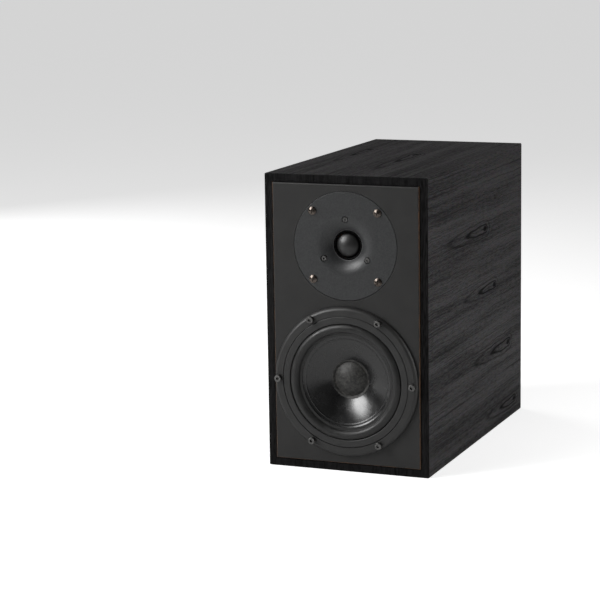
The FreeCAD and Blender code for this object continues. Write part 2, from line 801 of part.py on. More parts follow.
def tweeter_faceplate():
    """The flush round plate with its flared throat and a boss behind."""
    body = new_body("tweeter_faceplate", TWEETER)
    revolve(body, [
        ("plate_radius", "0"),
        ("flare_radius", "0", "flare_curve", LEFT),
        ("throat_radius", "throat_deep"),
        ("throat_radius", "throat_deep + 0.6"),
        ("silk_land + 0.5", "throat_deep + 0.6"),
        ("silk_land + 0.5", "boss_deep"),
        ("boss_radius", "boss_deep"),
        ("boss_radius", "plate_thick"),
        ("plate_radius", "plate_thick"),
    ])
    outer = [(x, z, "screw_radius + hole_gap") for x, z in corner_spots("screw_square", "screw_square")]
    pocket(body, "XZ_Plane", "plate_thick", circles=outer)
    inner = polar_spots("clamp_circle", 3, 90)
    pocket(body, "XZ_Plane", "clamp_sink", circles=[(x, z, "clamp_recess") for x, z in inner])
    pocket(body, "XZ_Plane", "boss_deep", circles=[(x, z, "clamp_radius + hole_gap") for x, z in inner])
    return node("tweeter_faceplate", body)


def tweeter_motor():
    """Dome and coil, their surround, and the magnet system under a plastic cup."""
    turned("tweeter_dome", TWEETER, [
        ("0", "dome_deep - dome_height", "dome_curve", RIGHT),
        ("dome_radius", "dome_deep"),
        ("dome_radius - dome_thick", "dome_deep", "dome_curve - dome_thick", LEFT),
        ("0", "dome_deep - dome_height + dome_thick"),
    ])
    tube("tweeter_voice_coil", TWEETER, "dome_radius - tweeter_coil_thick", "dome_radius",
         "dome_deep", "dome_deep + tweeter_coil_length")
    turned("tweeter_surround", TWEETER, [
        ("dome_radius + 0.1", "dome_deep - 0.3"),
        ("dome_radius + 0.1", "dome_deep - 0.8"),
        ("(dome_radius + silk_fold)/2", "dome_deep - 1.5"),
        ("silk_fold - 0.4", "dome_deep - 0.4"),
        ("silk_land", "dome_deep - 0.4"),
        ("silk_land", "boss_deep"),
        ("silk_fold - 0.8", "boss_deep"),
        ("(dome_radius + silk_fold)/2", "dome_deep - 1"),
    ])
    plate = new_body("tweeter_top_plate", TWEETER)
    threads = [(x, z, "clamp_radius + thread_gap") for x, z in polar_spots("clamp_circle", 3, 90)]
    pad(plate, "XZ_Plane", "tweeter_plate_thick", start="boss_deep",
        circles=[("0", "0", "tweeter_plate_radius"), ("0", "0", TWEETER_BORE)] + threads)
    node("tweeter_top_plate", plate)
    tube("tweeter_magnet", TWEETER, "tweeter_magnet_bore", "tweeter_magnet_radius",
         TWEETER_PLATE_BACK, TWEETER_MAGNET_BACK)
    turned("tweeter_yoke", TWEETER, [
        ("0", "boss_deep + 0.3"),
        (TWEETER_POLE, "boss_deep + 0.3"),
        (TWEETER_POLE, TWEETER_MAGNET_BACK),
        ("tweeter_magnet_radius - 2", TWEETER_MAGNET_BACK),
        ("tweeter_magnet_radius - 2", f"{TWEETER_MAGNET_BACK} + tweeter_yoke_thick"),
        ("0", f"{TWEETER_MAGNET_BACK} + tweeter_yoke_thick"),
    ])
    turned("tweeter_rear_cup", TWEETER, [
        ("cup_radius - cup_wall", TWEETER_PLATE_BACK),
        ("cup_radius", TWEETER_PLATE_BACK),
        ("cup_radius", f"{CUP_BACK} - 2"),
        ("cup_radius - 2", CUP_BACK),
        ("0", CUP_BACK),
        ("0", f"{CUP_BACK} - cup_wall"),
        ("cup_radius - cup_wall", f"{CUP_BACK} - cup_wall"),
    ])


def tweeter_fasteners():
    screws = []
    for index, (x, z) in enumerate(corner_spots("screw_square", "screw_square")):
        screws.append(pan_screw(f"tweeter_screw_{index}", (x, BAFFLE_FRONT, f"{TWEETER_HEIGHT} + {z}"),
                                "screw_head", "screw_head_tall", "screw_radius", "screw_bite",
                                "screw_head*0.55"))
    group("tweeter_mounting_screws", screws)
    clamps = []
    for index, (x, z) in enumerate(polar_spots("clamp_circle", 3, 90)):
        bite = f"({TWEETER_PLATE_BACK} - clamp_sink - 0.2)"
        clamps.append(cap_bolt(f"tweeter_clamp_{index}",
                               (x, f"{BAFFLE_FRONT} + clamp_sink", f"{TWEETER_HEIGHT} + {z}"),
                               "clamp_head", "clamp_head_tall", "clamp_key", "clamp_head_tall*0.6",
                               "clamp_radius", bite))
    group("tweeter_assembly_screws", clamps)
    blades = []
    for side, x in (("left", "-post_half_pitch"), ("right", "post_half_pitch")):
        start = f"({BAFFLE_FRONT} + {CUP_BACK})"
        blades.append(block(f"tweeter_blade_{side}", (f"{x} - tag_width/2", f"{x} + tag_width/2"),
                            (start, f"{start} + tag_length"),
                            (f"{TWEETER_HEIGHT} - tag_thick/2", f"{TWEETER_HEIGHT} + tag_thick/2")))
    group("tweeter_terminals", blades)


# ---------------------------------------------------------------- port

def rear_port():
    """A flared plastic mouth in the back board, and the tube behind it."""
    outer = "(port_radius + port_wall)"
    boss = "(port_radius + port_boss)"
    turned("port_flange", PORT, [
        (boss, "0"),
        ("port_flange_radius", "0"),
        ("port_flange_radius", "port_flange_thick - 1"),
        ("port_flange_radius - 1", "port_flange_thick"),
        ("port_radius + port_flare", "port_flange_thick", "port_flare + port_flange_thick", RIGHT),
        ("port_radius", "-port_flare"),
        ("port_radius", "-port_spigot"),
        (boss, "-port_spigot"),
    ])
    turned("port_tube", PORT, [
        ("port_radius", "-port_spigot"),
        ("port_radius", "-port_length + 1"),
        ("port_radius + 1", "-port_length"),
        (outer, "-port_length"),
        (outer, "-port_spigot"),
    ])


# ---------------------------------------------------------------- terminal plate

def terminal_plate():
    """A flat metal plate over the back board's window, on a foam gasket."""
    screws = corner_spots("terminal_screw_across", "terminal_screw_up")
    edge = rounded("-terminal_half_width", "terminal_half_width",
                   "-terminal_half_tall", "terminal_half_tall", "terminal_corner")
    screw_holes = [(x, z, "board_screw + hole_gap") for x, z in screws]
    posts = [(f"{sign}*post_half_pitch", "0", "bush_neck + hole_gap/2") for sign in (-1, 1)]
    plate = new_body("terminal_plate", TERMINALS)
    pad(plate, "XZ_Plane", "terminal_thick", start="gasket_thick", outlines=[edge],
        circles=screw_holes + posts)
    node("terminal_plate", plate)
    gasket = new_body("terminal_gasket", TERMINALS)
    window = rounded("-terminal_window_width", "terminal_window_width",
                     "-terminal_window_tall", "terminal_window_tall", "terminal_corner")
    pad(gasket, "XZ_Plane", "gasket_thick", outlines=[edge, window], circles=screw_holes)
    node("terminal_gasket", gasket)
    pieces = []
    for index, (x, z) in enumerate(screws):
        # A rear screw is a pan screw turned half round about Z.
        at = (x, f"{BACK_FACE} + {PLATE_FACE}", f"terminal_height + {z}")
        screw = pan_screw(f"terminal_screw_{index}", at,
                          "board_screw_head", "board_screw_tall", "board_screw", "(back_thick - 4)",
                          "board_screw_head*0.55")
        screw.Placement.Rotation = FreeCAD.Rotation(Vector(0, 0, 1), 180)
        pieces.append(screw)
    group("terminal_plate_screws", pieces)


def binding_posts():
    """Two screw posts: a fixed stem with a 4 mm socket, a bush, a nut, and a washer under a knob."""
    stems = []
    bushes = []
    nuts = []
    for colour, sign in (("black", "-1"), ("red", "1")):
        at = (f"{sign}*post_half_pitch", BACK_FACE, "terminal_height")
        stem = new_body(f"post_stem_{colour}", at)
        revolve(stem, [("0", "-stem_inner"), ("stem_radius", "-stem_inner"),
                       ("stem_radius", "stem_outer - 0.6"),
                       ("stem_radius - 0.6", "stem_outer"), ("socket_radius", "stem_outer"),
                       ("socket_radius", "stem_outer - socket_length"), ("0", "stem_outer - socket_length")])
        pocket(stem, "YZ_Plane", "stem_radius*2", start="-stem_radius",
               circles=[(f"{BUSH_FACE} + washer_thick + wire_hole", "0", "wire_hole")])
        stems.append(stem)
        bush = new_body(f"post_bush_{colour}", at)
        bore = "(stem_radius + glue_gap)"
        revolve(bush, [(bore, "gasket_thick"), ("bush_neck", "gasket_thick"), ("bush_neck", PLATE_FACE),
                       ("bush_radius", PLATE_FACE), ("bush_radius", f"{BUSH_FACE} - 0.6"),
                       ("bush_radius - 0.6", BUSH_FACE), (bore, BUSH_FACE)])
        bushes.append(bush)
        nut = new_body(f"post_nut_{colour}", at)
        pad(nut, "XZ_Plane", "nut_thick", start="gasket_thick - nut_thick",
            outlines=[[polar("nut_circle", 60 * index) for index in range(6)]], circles=[("0", "0", bore)])
        nuts.append(nut)
        running = "(stem_radius + knob_gap)"
        tube(f"post_washer_{colour}", at, running, "washer_radius", BUSH_FACE, WASHER_FACE)
        binding_knob(f"post_knob_{colour}", at, running)
    group("binding_post_stems", stems)
    group("binding_post_bushes", bushes)
    group("binding_post_nuts", nuts)


def binding_knob(label, at, bore):
    """A fluted knob, open right through for the plug."""
    body = new_body(label, at)
    end = f"({WASHER_FACE} + knob_length)"
    revolve(body, [(bore, WASHER_FACE), ("knob_radius - 0.8", WASHER_FACE),
                   ("knob_radius", f"{WASHER_FACE} + 0.8"),
                   ("knob_radius", f"{end} - 3.5"), ("knob_radius - 1.8", f"{end} - 1"),
                   ("knob_radius - 2.6", end), (bore, end)])
    flutes = [(x, z, "0.9") for x, z in polar_spots("(knob_radius + 0.35)*2", 12, 0)]
    pocket(body, "XZ_Plane", "knob_length - 5", start=f"{WASHER_FACE} + 1.6", circles=flutes)
    return node(label, body)


# ---------------------------------------------------------------- crossover

def crossover():
    """The filter board on pillars behind the woofer, with its coils, capacitors and resistors."""
    board = new_body("crossover_board")
    x_corner = "(board_width/2 - standoff_inset)"
    corners = [(x, y) for x in (f"-{x_corner}", x_corner)
               for y in (f"{BOARD_FRONT} + standoff_inset", f"{BOARD_REAR} - standoff_inset")]
    pad(board, "XY_Plane", "board_thick", start="wall + standoff_tall",
        outlines=[rectangle("-board_width/2", "board_width/2", BOARD_FRONT, BOARD_REAR)],
        circles=[(x, y, "board_screw + hole_gap") for x, y in corners])
    node("crossover_board", board)
    pillars = []
    screws = []
    for index, (x, y) in enumerate(corners):
        post = upright(f"pillar_{index}", "standoff_radius", "standoff_tall", (x, y, "wall"))
        bore = upright(f"pillar_bore_{index}", "board_screw + thread_gap", "standoff_tall", (x, y, "wall"))
        pillars.append(joined(f"pillar_cut_{index}", "Part::Cut", post, bore))
        shank = upright(f"board_shank_{index}", "board_screw", "standoff_tall", (x, y, "wall + board_thick"))
        head = upright(f"board_head_{index}", "board_screw_head", "board_screw_tall", (x, y, BOARD_TOP))
        screws.append(joined(f"board_screw_{index}", "Part::Fuse", head, shank))
    group("crossover_pillars", pillars)
    group("crossover_screws", screws)
    choke_ring("woofer_choke", "choke",
               ("-board_width/2 + choke_radius + choke_side", f"{BOARD_REAR} - choke_radius - choke_rear"))
    choke_ring("tweeter_choke", "small_choke",
               ("board_width/2 - small_choke_radius - choke_side",
                f"{BOARD_REAR} - small_choke_radius - choke_rear"))
    capacitors = []
    for index in range(2):
        can = doc.addObject("Part::Cylinder", f"capacitor_{index}")
        can.setExpression("Radius", formula("capacitor_radius"))
        can.setExpression("Height", formula("capacitor_length"))
        can.Placement.Rotation = FreeCAD.Rotation(Vector(0, 1, 0), 90)
        place(can, ("-board_width/2 + capacitor_side",
                    f"{BOARD_FRONT} + capacitor_first + {index}*capacitor_step",
                    f"{BOARD_TOP} + capacitor_radius"))
        capacitors.append(can)
    group("crossover_capacitors", capacitors)
    resistors = []
    for index in range(3):
        start = f"({BOARD_FRONT} + resistor_first + {index}*resistor_step)"
        resistors.append(block(f"resistor_{index}", ("resistor_side", "resistor_side + resistor_long"),
                               (start, f"{start} + resistor_wide"),
                               (BOARD_TOP, f"{BOARD_TOP} + resistor_wide")))
    group("crossover_resistors", resistors)


def choke_ring(label, prefix, spot):
    """An air-cored coil standing on the board."""
    at = (spot[0], spot[1], BOARD_TOP)
    winding = upright(f"{label}_winding", f"{prefix}_radius", f"{prefix}_tall", at)
    core = upright(f"{label}_core", f"{prefix}_bore", f"{prefix}_tall", at)
    return node(label, joined(label, "Part::Cut", winding, core))


# ---------------------------------------------------------------- wires

def rounded_path(points):
    """Straight runs joined by tangent arcs, each as large as its two runs allow."""
    edges = []
    start = points[0]
    for before, corner, after in zip(points, points[1:], points[2:]):
        back = (before - corner).normalize()
        ahead = (after - corner).normalize()
        half_turn = (math.pi - back.getAngle(ahead)) / 2
        trim = 0.45 * min((before - corner).Length, (after - corner).Length)
        radius = trim / math.tan(half_turn)
        enter = corner + back * trim
        leave = corner + ahead * trim
        middle_way = (back + ahead).normalize()
        middle = corner + middle_way * (radius / math.cos(half_turn) - radius)
        edges.append(Part.LineSegment(start, enter).toShape())
        edges.append(Part.Arc(enter, middle, leave).toShape())
        print(f"  bend radius {radius:.1f}")
        start = leave
    edges.append(Part.LineSegment(start, points[-1]).toShape())
    return Part.Wire(edges)


def wire_solid(route, radius):
    """A round wire along a route of expressions."""
    points = [Vector(*(value(text) for text in spot)) for spot in route]
    path = rounded_path(points)
    direction = points[1] - points[0]
    section = Part.Wire(Part.makeCircle(radius, points[0], direction))
    solid = path.makePipeShell([section], True, False)
    expected = math.pi * radius ** 2 * path.Length
    if abs(solid.Volume / expected - 1) > 0.01:
        raise RuntimeError("a wire's volume doesn't match its length")
    print(f"  wire length {path.Length:.0f} mm")
    return solid


def wires(label, routes, radius):
    """A pair of wires as one node of separate solids."""
    print(label)
    feature = doc.addObject("Part::Feature", label)
    feature.Shape = Part.Compound([wire_solid(route, value(radius)) for route in routes])
    feature.Placement = FreeCAD.Placement()
    return node(label, feature)


def input_wires():
    """From the posts' inner ends down to the rear edge of the board."""
    start = f"({BACK_FACE} - stem_inner - 0.35)"
    routes = []
    for sign in ("-1", "1"):
        x = f"{sign}*post_half_pitch"
        routes.append([
            (x, start, "terminal_height"),
            (x, f"{start} - 17", "terminal_height - 3"),
            (x, f"{start}*0.45 + {BOARD_REAR}*0.55", f"terminal_height*0.5 + {LEAD_LEVEL}*0.5"),
            (x, f"{BOARD_REAR} + 2", f"{LEAD_LEVEL} + 4"),
            (x, f"{BOARD_REAR} - 14", LEAD_LEVEL),
        ])
    wires("input_wires", routes, "lead_radius")


def woofer_wires():
    """From the board's front edge, under the magnet, to the woofer's blades."""
    blade_end = f"({TAG_BOARD_FACE} + tag_board_thick + tag_length + blade_reach)"
    span = f"({BOARD_FRONT} - {blade_end})"
    routes = []
    for sign in ("-1", "1"):
        routes.append([
            (f"{sign}*6", f"{BOARD_FRONT} + 10", LEAD_LEVEL),
            (f"{sign}*6.5", f"{BOARD_FRONT} - 12", f"{LEAD_LEVEL} + 2"),
            (f"{sign}*9", f"{BOARD_FRONT} - {span}*0.45", "wall + lead_radius + 3"),
            (f"{sign}*13", f"{blade_end} + 24", f"wall*0.4 + {BLADE_HEIGHT}*0.6"),
            (f"{sign}*tag_spread", blade_end, BLADE_HEIGHT),
        ])
    wires("woofer_wires", routes, "lead_radius")


def tweeter_wires():
    """From the board, up beside the magnet and through the brace's window, to the tweeter's blades."""
    blade_end = f"({BAFFLE_FRONT} + {CUP_BACK} + tag_length + blade_reach)"
    wall_x = f"({INNER_SIDE} - brace_rim - 5)"
    behind = "(-cab_depth/2 + brace_front + brace_rim + 8)"
    rise = f"(brace_base - {BOARD_TOP})"
    routes = []
    for sign, shift in ((-1, "0"), (1, "lead_pitch")):
        routes.append([
            (f"{wall_x} + {shift} - 9", f"{BOARD_FRONT} + 12", LEAD_LEVEL),
            (f"{wall_x} + {shift} - 8", f"{BOARD_FRONT} - 8", f"{LEAD_LEVEL} + 4"),
            (f"{wall_x} + {shift}", f"{behind} + 8", f"{BOARD_TOP} + {rise}*0.2"),
            (f"{wall_x} + {shift} + 2", f"{behind} + 3", f"{BOARD_TOP} + {rise}*0.52"),
            (f"{wall_x} + {shift} + 1", f"{behind} + 5", f"{BOARD_TOP} + {rise}*0.86"),
            (f"{wall_x} + {shift} - 4", f"{behind} + 2", "brace_base + brace_thick + 14"),
            (f"{wall_x}*0.62 + {shift}", f"{behind}*0.6 + {blade_end}*0.4", f"{TWEETER_HEIGHT} - 12"),
            (f"{sign * 0.5 + 0.5}*{wall_x}*0.3 + {sign}*post_half_pitch*0.7",
             f"{blade_end} + 18", f"{TWEETER_HEIGHT} - 1.5"),
            (f"{sign}*post_half_pitch", blade_end, TWEETER_HEIGHT),
        ])
    wires("tweeter_wires", routes, "lead_radius")


def tinsel_leads():
    """Two limp braids from the back of the cone, through the frame's windows, to the tag board."""
    cone_back = f"({BAFFLE_FRONT} + {SEAT} + paper_thick)"
    routes = []
    for sign in ("-1", "1"):
        x = f"{sign}*tag_spread"
        routes.append([
            (x, f"{cone_back} + 11", "woofer_height - former_outer - 8"),
            (x, f"{cone_back} + 15", "woofer_height - former_outer - 14"),
            (x, f"{cone_back} + 16", "woofer_height - former_outer - 22"),
            (x, f"{cone_back} + 15", f"{BLADE_HEIGHT} + 9"),
            (x, f"{cone_back} + 18", f"{BLADE_HEIGHT} + 1.5"),
            (x, f"{TAG_BOARD_FACE} - 0.3", BLADE_HEIGHT),
        ])
    wires("woofer_tinsel_leads", routes, "tinsel_radius")


# ---------------------------------------------------------------- build

BOARD_LABELS = ("bottom_panel", "side_panel_right", "top_panel", "side_panel_left")
for board_index, board_label in enumerate(BOARD_LABELS):
    cabinet_board(board_label, board_index)
front_baffle()
back_panel()
window_brace()
wall_felts()
acoustic_wadding()
woofer_gasket()
woofer_basket()
woofer_surround()
woofer_trim_ring()
woofer_cone()
woofer_dust_cap()
woofer_motor()
woofer_spider()
woofer_fasteners()
woofer_terminals()
tweeter_faceplate()
tweeter_motor()
tweeter_fasteners()
rear_port()
terminal_plate()
binding_posts()
crossover()
input_wires()
woofer_wires()
tweeter_wires()
tinsel_leads()
doc.recompute()

for item in doc.Objects:
    if "Invalid" in item.State or "Error" in item.State:
        raise RuntimeError(f"{item.Label} failed to recompute: {item.State}")
for label, piece in nodes.items():
    if piece.Shape.isNull() or not piece.Shape.isValid() or piece.Shape.Volume <= 0:
        raise RuntimeError(f"{label} has no valid shape")

os.makedirs("parts", exist_ok=True)
for label, piece in nodes.items():
    piece.Shape.exportStep(f"parts/{label}.step")
print(f"{len(nodes)} nodes written")
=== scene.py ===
import math

import bmesh
import bpy
from bpy.props import FloatProperty, FloatVectorProperty, IntProperty, PointerProperty
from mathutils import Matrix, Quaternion, Vector, noise


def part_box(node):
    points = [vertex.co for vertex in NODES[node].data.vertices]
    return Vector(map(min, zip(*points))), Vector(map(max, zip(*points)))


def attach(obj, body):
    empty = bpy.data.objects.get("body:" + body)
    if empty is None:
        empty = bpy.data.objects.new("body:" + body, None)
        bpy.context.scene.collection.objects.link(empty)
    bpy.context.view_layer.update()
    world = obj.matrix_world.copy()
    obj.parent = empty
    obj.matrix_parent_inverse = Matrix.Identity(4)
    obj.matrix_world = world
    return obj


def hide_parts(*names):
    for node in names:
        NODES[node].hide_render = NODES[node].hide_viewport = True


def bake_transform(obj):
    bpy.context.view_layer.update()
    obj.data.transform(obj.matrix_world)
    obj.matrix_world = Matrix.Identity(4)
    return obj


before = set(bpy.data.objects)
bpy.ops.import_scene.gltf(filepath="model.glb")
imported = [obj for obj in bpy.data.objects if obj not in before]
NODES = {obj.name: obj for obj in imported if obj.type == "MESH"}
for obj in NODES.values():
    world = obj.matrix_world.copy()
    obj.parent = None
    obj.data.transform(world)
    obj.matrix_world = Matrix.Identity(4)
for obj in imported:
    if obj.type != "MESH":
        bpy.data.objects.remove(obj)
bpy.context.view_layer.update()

bl_info = {
    "name": "Bookshelf Speaker",
    "version": (1, 0, 0),
    "blender": (4, 5, 0),
    "location": "View3D > Sidebar > Speaker",
    "description": "Finishes a two-way bookshelf loudspeaker around its CAD frame",
    "category": "Object",
}

MM = 0.001
CABINET = "cabinet"
CONE_BODY = "woofer_cone_assembly"
DOME_BODY = "tweeter_dome_assembly"
SLOT_OF = {name: piece.data.materials[0].name for name, piece in NODES.items()}
CABINET_HALF = NODES["side_panel_right"].bound_box[6][0]
# Edges up to this many degrees are shaded smooth, but not round a face of more square metres than this.
SMOOTH_TO = 32
BROAD_FACE = 0.0001
# Where the tweeter's throat opens behind its flare.
THROAT_RADIUS = 0.0151

# Knots: depth, height up the right side, and half width, in metres.
KNOTS = ((0.025, 0.224, 0.0038), (0.058, 0.159, 0.0032), (0.109, 0.086, 0.0037),
         (0.132, 0.018, 0.0031), (-0.040, -0.105, 0.0034), (0.070, -0.030, 0.0032))


# -------------------- settings

def length_setting(label, meaning, value, low, high):
    return FloatProperty(name=label, description=meaning, default=value, min=low, max=high,
                         unit="LENGTH", precision=4)


def colour_setting(label, meaning, value):
    return FloatVectorProperty(name=label, description=meaning, default=value, min=0, max=1,
                               subtype="COLOR")


def angle_setting(label, meaning, degrees):
    return FloatProperty(name=label, description=meaning, default=math.radians(degrees),
                         subtype="ANGLE")


def amount_setting(label, meaning, value, low=0, high=1000):
    return FloatProperty(name=label, description=meaning, default=value, min=low, max=high)


class SpeakerShape(bpy.types.PropertyGroup):
    edge_ease: length_setting(
        "Edge Ease", "How far the boards' sharp edges are eased", 0.0004, 0.0001, 0.002)
    turning_steps: IntProperty(
        name="Turning Steps", description="Steps round each turned piece", default=192, min=32, max=360)
    roll_height: length_setting(
        "Roll Height", "How far the woofer's half roll stands above its feet", 0.0038, 0.001, 0.005)
    cone_curve: length_setting(
        "Cone Curve", "How far the cone's wall bows forward of a straight cone", 0.0011, 0.0001, 0.0015)
    cap_curve: length_setting(
        "Cap Curve", "How far the dust cap's profile bows out between apex and edge",
        0.0015, 0.0005, 0.0018)


class SpeakerFinish(bpy.types.PropertyGroup):
    veneer_dark: colour_setting(
        "Veneer Dark", "Veneer colour in the pores and dark rings", (0.0018, 0.0017, 0.0018))
    veneer_light: colour_setting(
        "Veneer Light", "Veneer colour between the rings", (0.042, 0.0396, 0.0415))
    baffle_colour: colour_setting(
        "Baffle Paint", "Colour of the front board's textured paint", (0.0172, 0.0168, 0.0163))
    cone_colour: colour_setting(
        "Cone", "Colour of the woofer's polypropylene cone", (0.0016, 0.0016, 0.0017))
    cone_roughness: amount_setting("Cone Roughness", "Roughness of the woofer's cone", 0.24, 0.05, 1)
    cap_dust: amount_setting("Cap Dust", "How much pale dust sits in the cap's cloth", 0.46, 0, 1)


class SpeakerStage(bpy.types.PropertyGroup):
    azimuth: angle_setting("Azimuth", "Camera's angle round the speaker, from straight ahead", 22.47)
    elevation: angle_setting("Elevation", "Camera's angle above the horizon", 10.47)
    roll: angle_setting("Roll", "Camera's turn about its line of sight", -0.92)
    distance: amount_setting("Distance", "Metres from the camera to its target", 2.147)
    target: FloatVectorProperty(
        name="Target", description="The point that the camera looks at",
        default=(-0.0497, -0.159, 0.1729), subtype="TRANSLATION")
    lens: amount_setting("Lens", "Focal length in millimetres", 128.6, 10)
    key_power: amount_setting("Key Power", "Watts of the soft light at the left", 21)
    top_power: amount_setting("Top Power", "Watts of the soft light above the left", 7)
    fill_power: amount_setting("Fill Power", "Watts of the soft light at the right", 5.5)
    back_power: amount_setting("Back Power", "Watts of the soft light behind", 8)
    room_light: amount_setting("Room Light", "Brightness of the room in reflections", 0.14)


# -------------------- node helpers

def plug(tree, socket, value):
    """Link a node's output to a socket, or set the socket. One number is a grey on a colour socket."""
    if isinstance(value, bpy.types.NodeSocket):
        tree.links.new(value, socket)
    elif socket.type == "RGBA":
        socket.default_value = (value, value, value, 1) if isinstance(value, float) else (*value[:3], 1)
    else:
        socket.default_value = value


def wire(tree, kind, inputs=None, **settings):
    """A new node. Inputs go by socket name or number, as a value or as another node's output."""
    made = tree.nodes.new(kind)
    for name, setting in settings.items():
        setattr(made, name, setting)
    for key, value in (inputs or {}).items():
        plug(tree, made.inputs[key], value)
    return made


def maths(tree, operation, first, second=0.0, third=0.0):
    return wire(tree, "ShaderNodeMath", {0: first, 1: second, 2: third}, operation=operation).outputs[0]


def times(tree, first, second):
    return maths(tree, "MULTIPLY", first, second)


def plus(tree, first, second):
    return maths(tree, "ADD", first, second)


def minus(tree, first, second):
    return maths(tree, "SUBTRACT", first, second)


def remap(tree, value, low, high, to_low=0.0, to_high=1.0):
    """A value's range moved to another range, smoothly and within its limits."""
    return wire(tree, "ShaderNodeMapRange", {0: value, 1: low, 2: high, 3: to_low, 4: to_high},
                interpolation_type="SMOOTHSTEP").outputs[0]


def mixed(tree, factor, first, second, blend="MIX"):
    """A mix of two colours."""
    return wire(tree, "ShaderNodeMix", {0: factor, 6: first, 7: second},
                data_type="RGBA", blend_type=blend).outputs[2]


def split(tree, vector):
    return wire(tree, "ShaderNodeSeparateXYZ", {0: vector}).outputs


def joined(tree, x, y=0.0, z=0.0):
    return wire(tree, "ShaderNodeCombineXYZ", {0: x, 1: y, 2: z}).outputs[0]


def size_of(tree, vector):
    return wire(tree, "ShaderNodeVectorMath", {0: vector}, operation="LENGTH").outputs["Value"]


def axis_distance(tree, place, centre=(0, 0, 0)):
    """Distance from the axis along Y that runs through the centre."""
    x, y, z = split(tree, place)
    return size_of(tree, joined(tree, minus(tree, x, centre[0]), 0.0, minus(tree, z, centre[2])))


def cloud(tree, place, scale, detail, roughness=0.5):
    """Soft noise between 0 and 1."""
    return wire(tree, "ShaderNodeTexNoise", {"Vector": place, "Scale": scale, "Detail": detail,
                                             "Roughness": roughness}).outputs[0]


SOCKET_KIND = {type(None): "NodeSocketVector", float: "NodeSocketFloat", tuple: "NodeSocketColor"}
BLACK = (0.0, 0.0, 0.0, 1.0)


def new_group(label, results, defaults, build):
    """A shader node group, filled in by a function that is given its tree and its inputs."""
    tree = bpy.data.node_groups.new(label, "ShaderNodeTree")
    for name, value in defaults.items():
        socket = tree.interface.new_socket(name=name, in_out="INPUT", socket_type=SOCKET_KIND[type(value)])
        if value is not None:
            socket.default_value = value
    for name in results:
        kind = SOCKET_KIND[tuple if name == "Color" else float]
        tree.interface.new_socket(name=name, in_out="OUTPUT", socket_type=kind)
    entry = tree.nodes.new("NodeGroupInput")
    leaving = tree.nodes.new("NodeGroupOutput")
    for name, result in zip(results, build(tree, entry.outputs)):
        tree.links.new(result, leaving.inputs[name])
    return tree


def node_group(label, results, **defaults):
    """Make a function into a shared node group, built once. Calling it adds the group to a tree."""
    def shared(build):
        def added(tree, **given):
            group = bpy.data.node_groups.get(label) or new_group(label, results, defaults, build)
            return wire(tree, "ShaderNodeGroup", given, node_tree=group).outputs
        return added
    return shared


# -------------------- shared effects

@node_group("Mottle", ("Color", "Mask"), Vector=None, Scale=60.0, Dark=BLACK, Light=BLACK)
def mottle(tree, given):
    """Two tones of one finish, mixed by soft noise."""
    mask = remap(tree, cloud(tree, given["Vector"], given["Scale"], 4.0, 0.6), 0.3, 0.7)
    return mixed(tree, mask, given["Dark"], given["Light"]), mask


@node_group("Pebble", ("Height", "Shine"), Vector=None, Scale=1500.0)
def pebble(tree, given):
    """The fine raised texture of textured paint, powder coat or moulded plastic."""
    cells = wire(tree, "ShaderNodeTexVoronoi", {"Vector": given["Vector"], "Scale": given["Scale"]},
                 feature="SMOOTH_F1").outputs[0]
    fine = cloud(tree, given["Vector"], times(tree, given["Scale"], 2.3), 3.0)
    height = plus(tree, times(tree, cells, -0.7), fine)
    return height, remap(tree, height, 0.0, 0.6)


@node_group("Settled Dust", ("Mask",), Vector=None, Amount=0.1)
def settled_dust(tree, given):
    """A mask of dust that settles on faces that look up, thicker in patches."""
    normal = wire(tree, "ShaderNodeNewGeometry").outputs["Normal"]
    level = remap(tree, split(tree, normal)[2], 0.2, 0.95)
    patches = remap(tree, cloud(tree, given["Vector"], 38.0, 8.0, 0.7), 0.35, 0.75, 0.25, 1.0)
    grains = remap(tree, cloud(tree, given["Vector"], 1400.0, 2.0), 0.45, 0.7, 0.35, 1.0)
    settled = times(tree, times(tree, level, patches), grains)
    return (times(tree, settled, given["Amount"]),)


def knot_distance(tree, depth, across, knot, lead):
    """Distance from a knot in half widths, drawn out to the front by the lead."""
    at, height, half = knot
    along = minus(tree, depth, at)
    behind = times(tree, maths(tree, "MAXIMUM", along, 0.0), 1 / (1.7 * half))
    ahead = times(tree, maths(tree, "MINIMUM", along, 0.0), 1 / (lead * half))
    over = times(tree, minus(tree, across, height + CABINET_HALF), 1 / half)
    return size_of(tree, joined(tree, plus(tree, behind, ahead), over))


def streaks(tree, depth, across, along_scale, across_scale, detail):
    """Noise drawn out along the grain."""
    flow = joined(tree, times(tree, depth, along_scale), times(tree, across, across_scale))
    return cloud(tree, flow, 1.0, detail, 0.6)


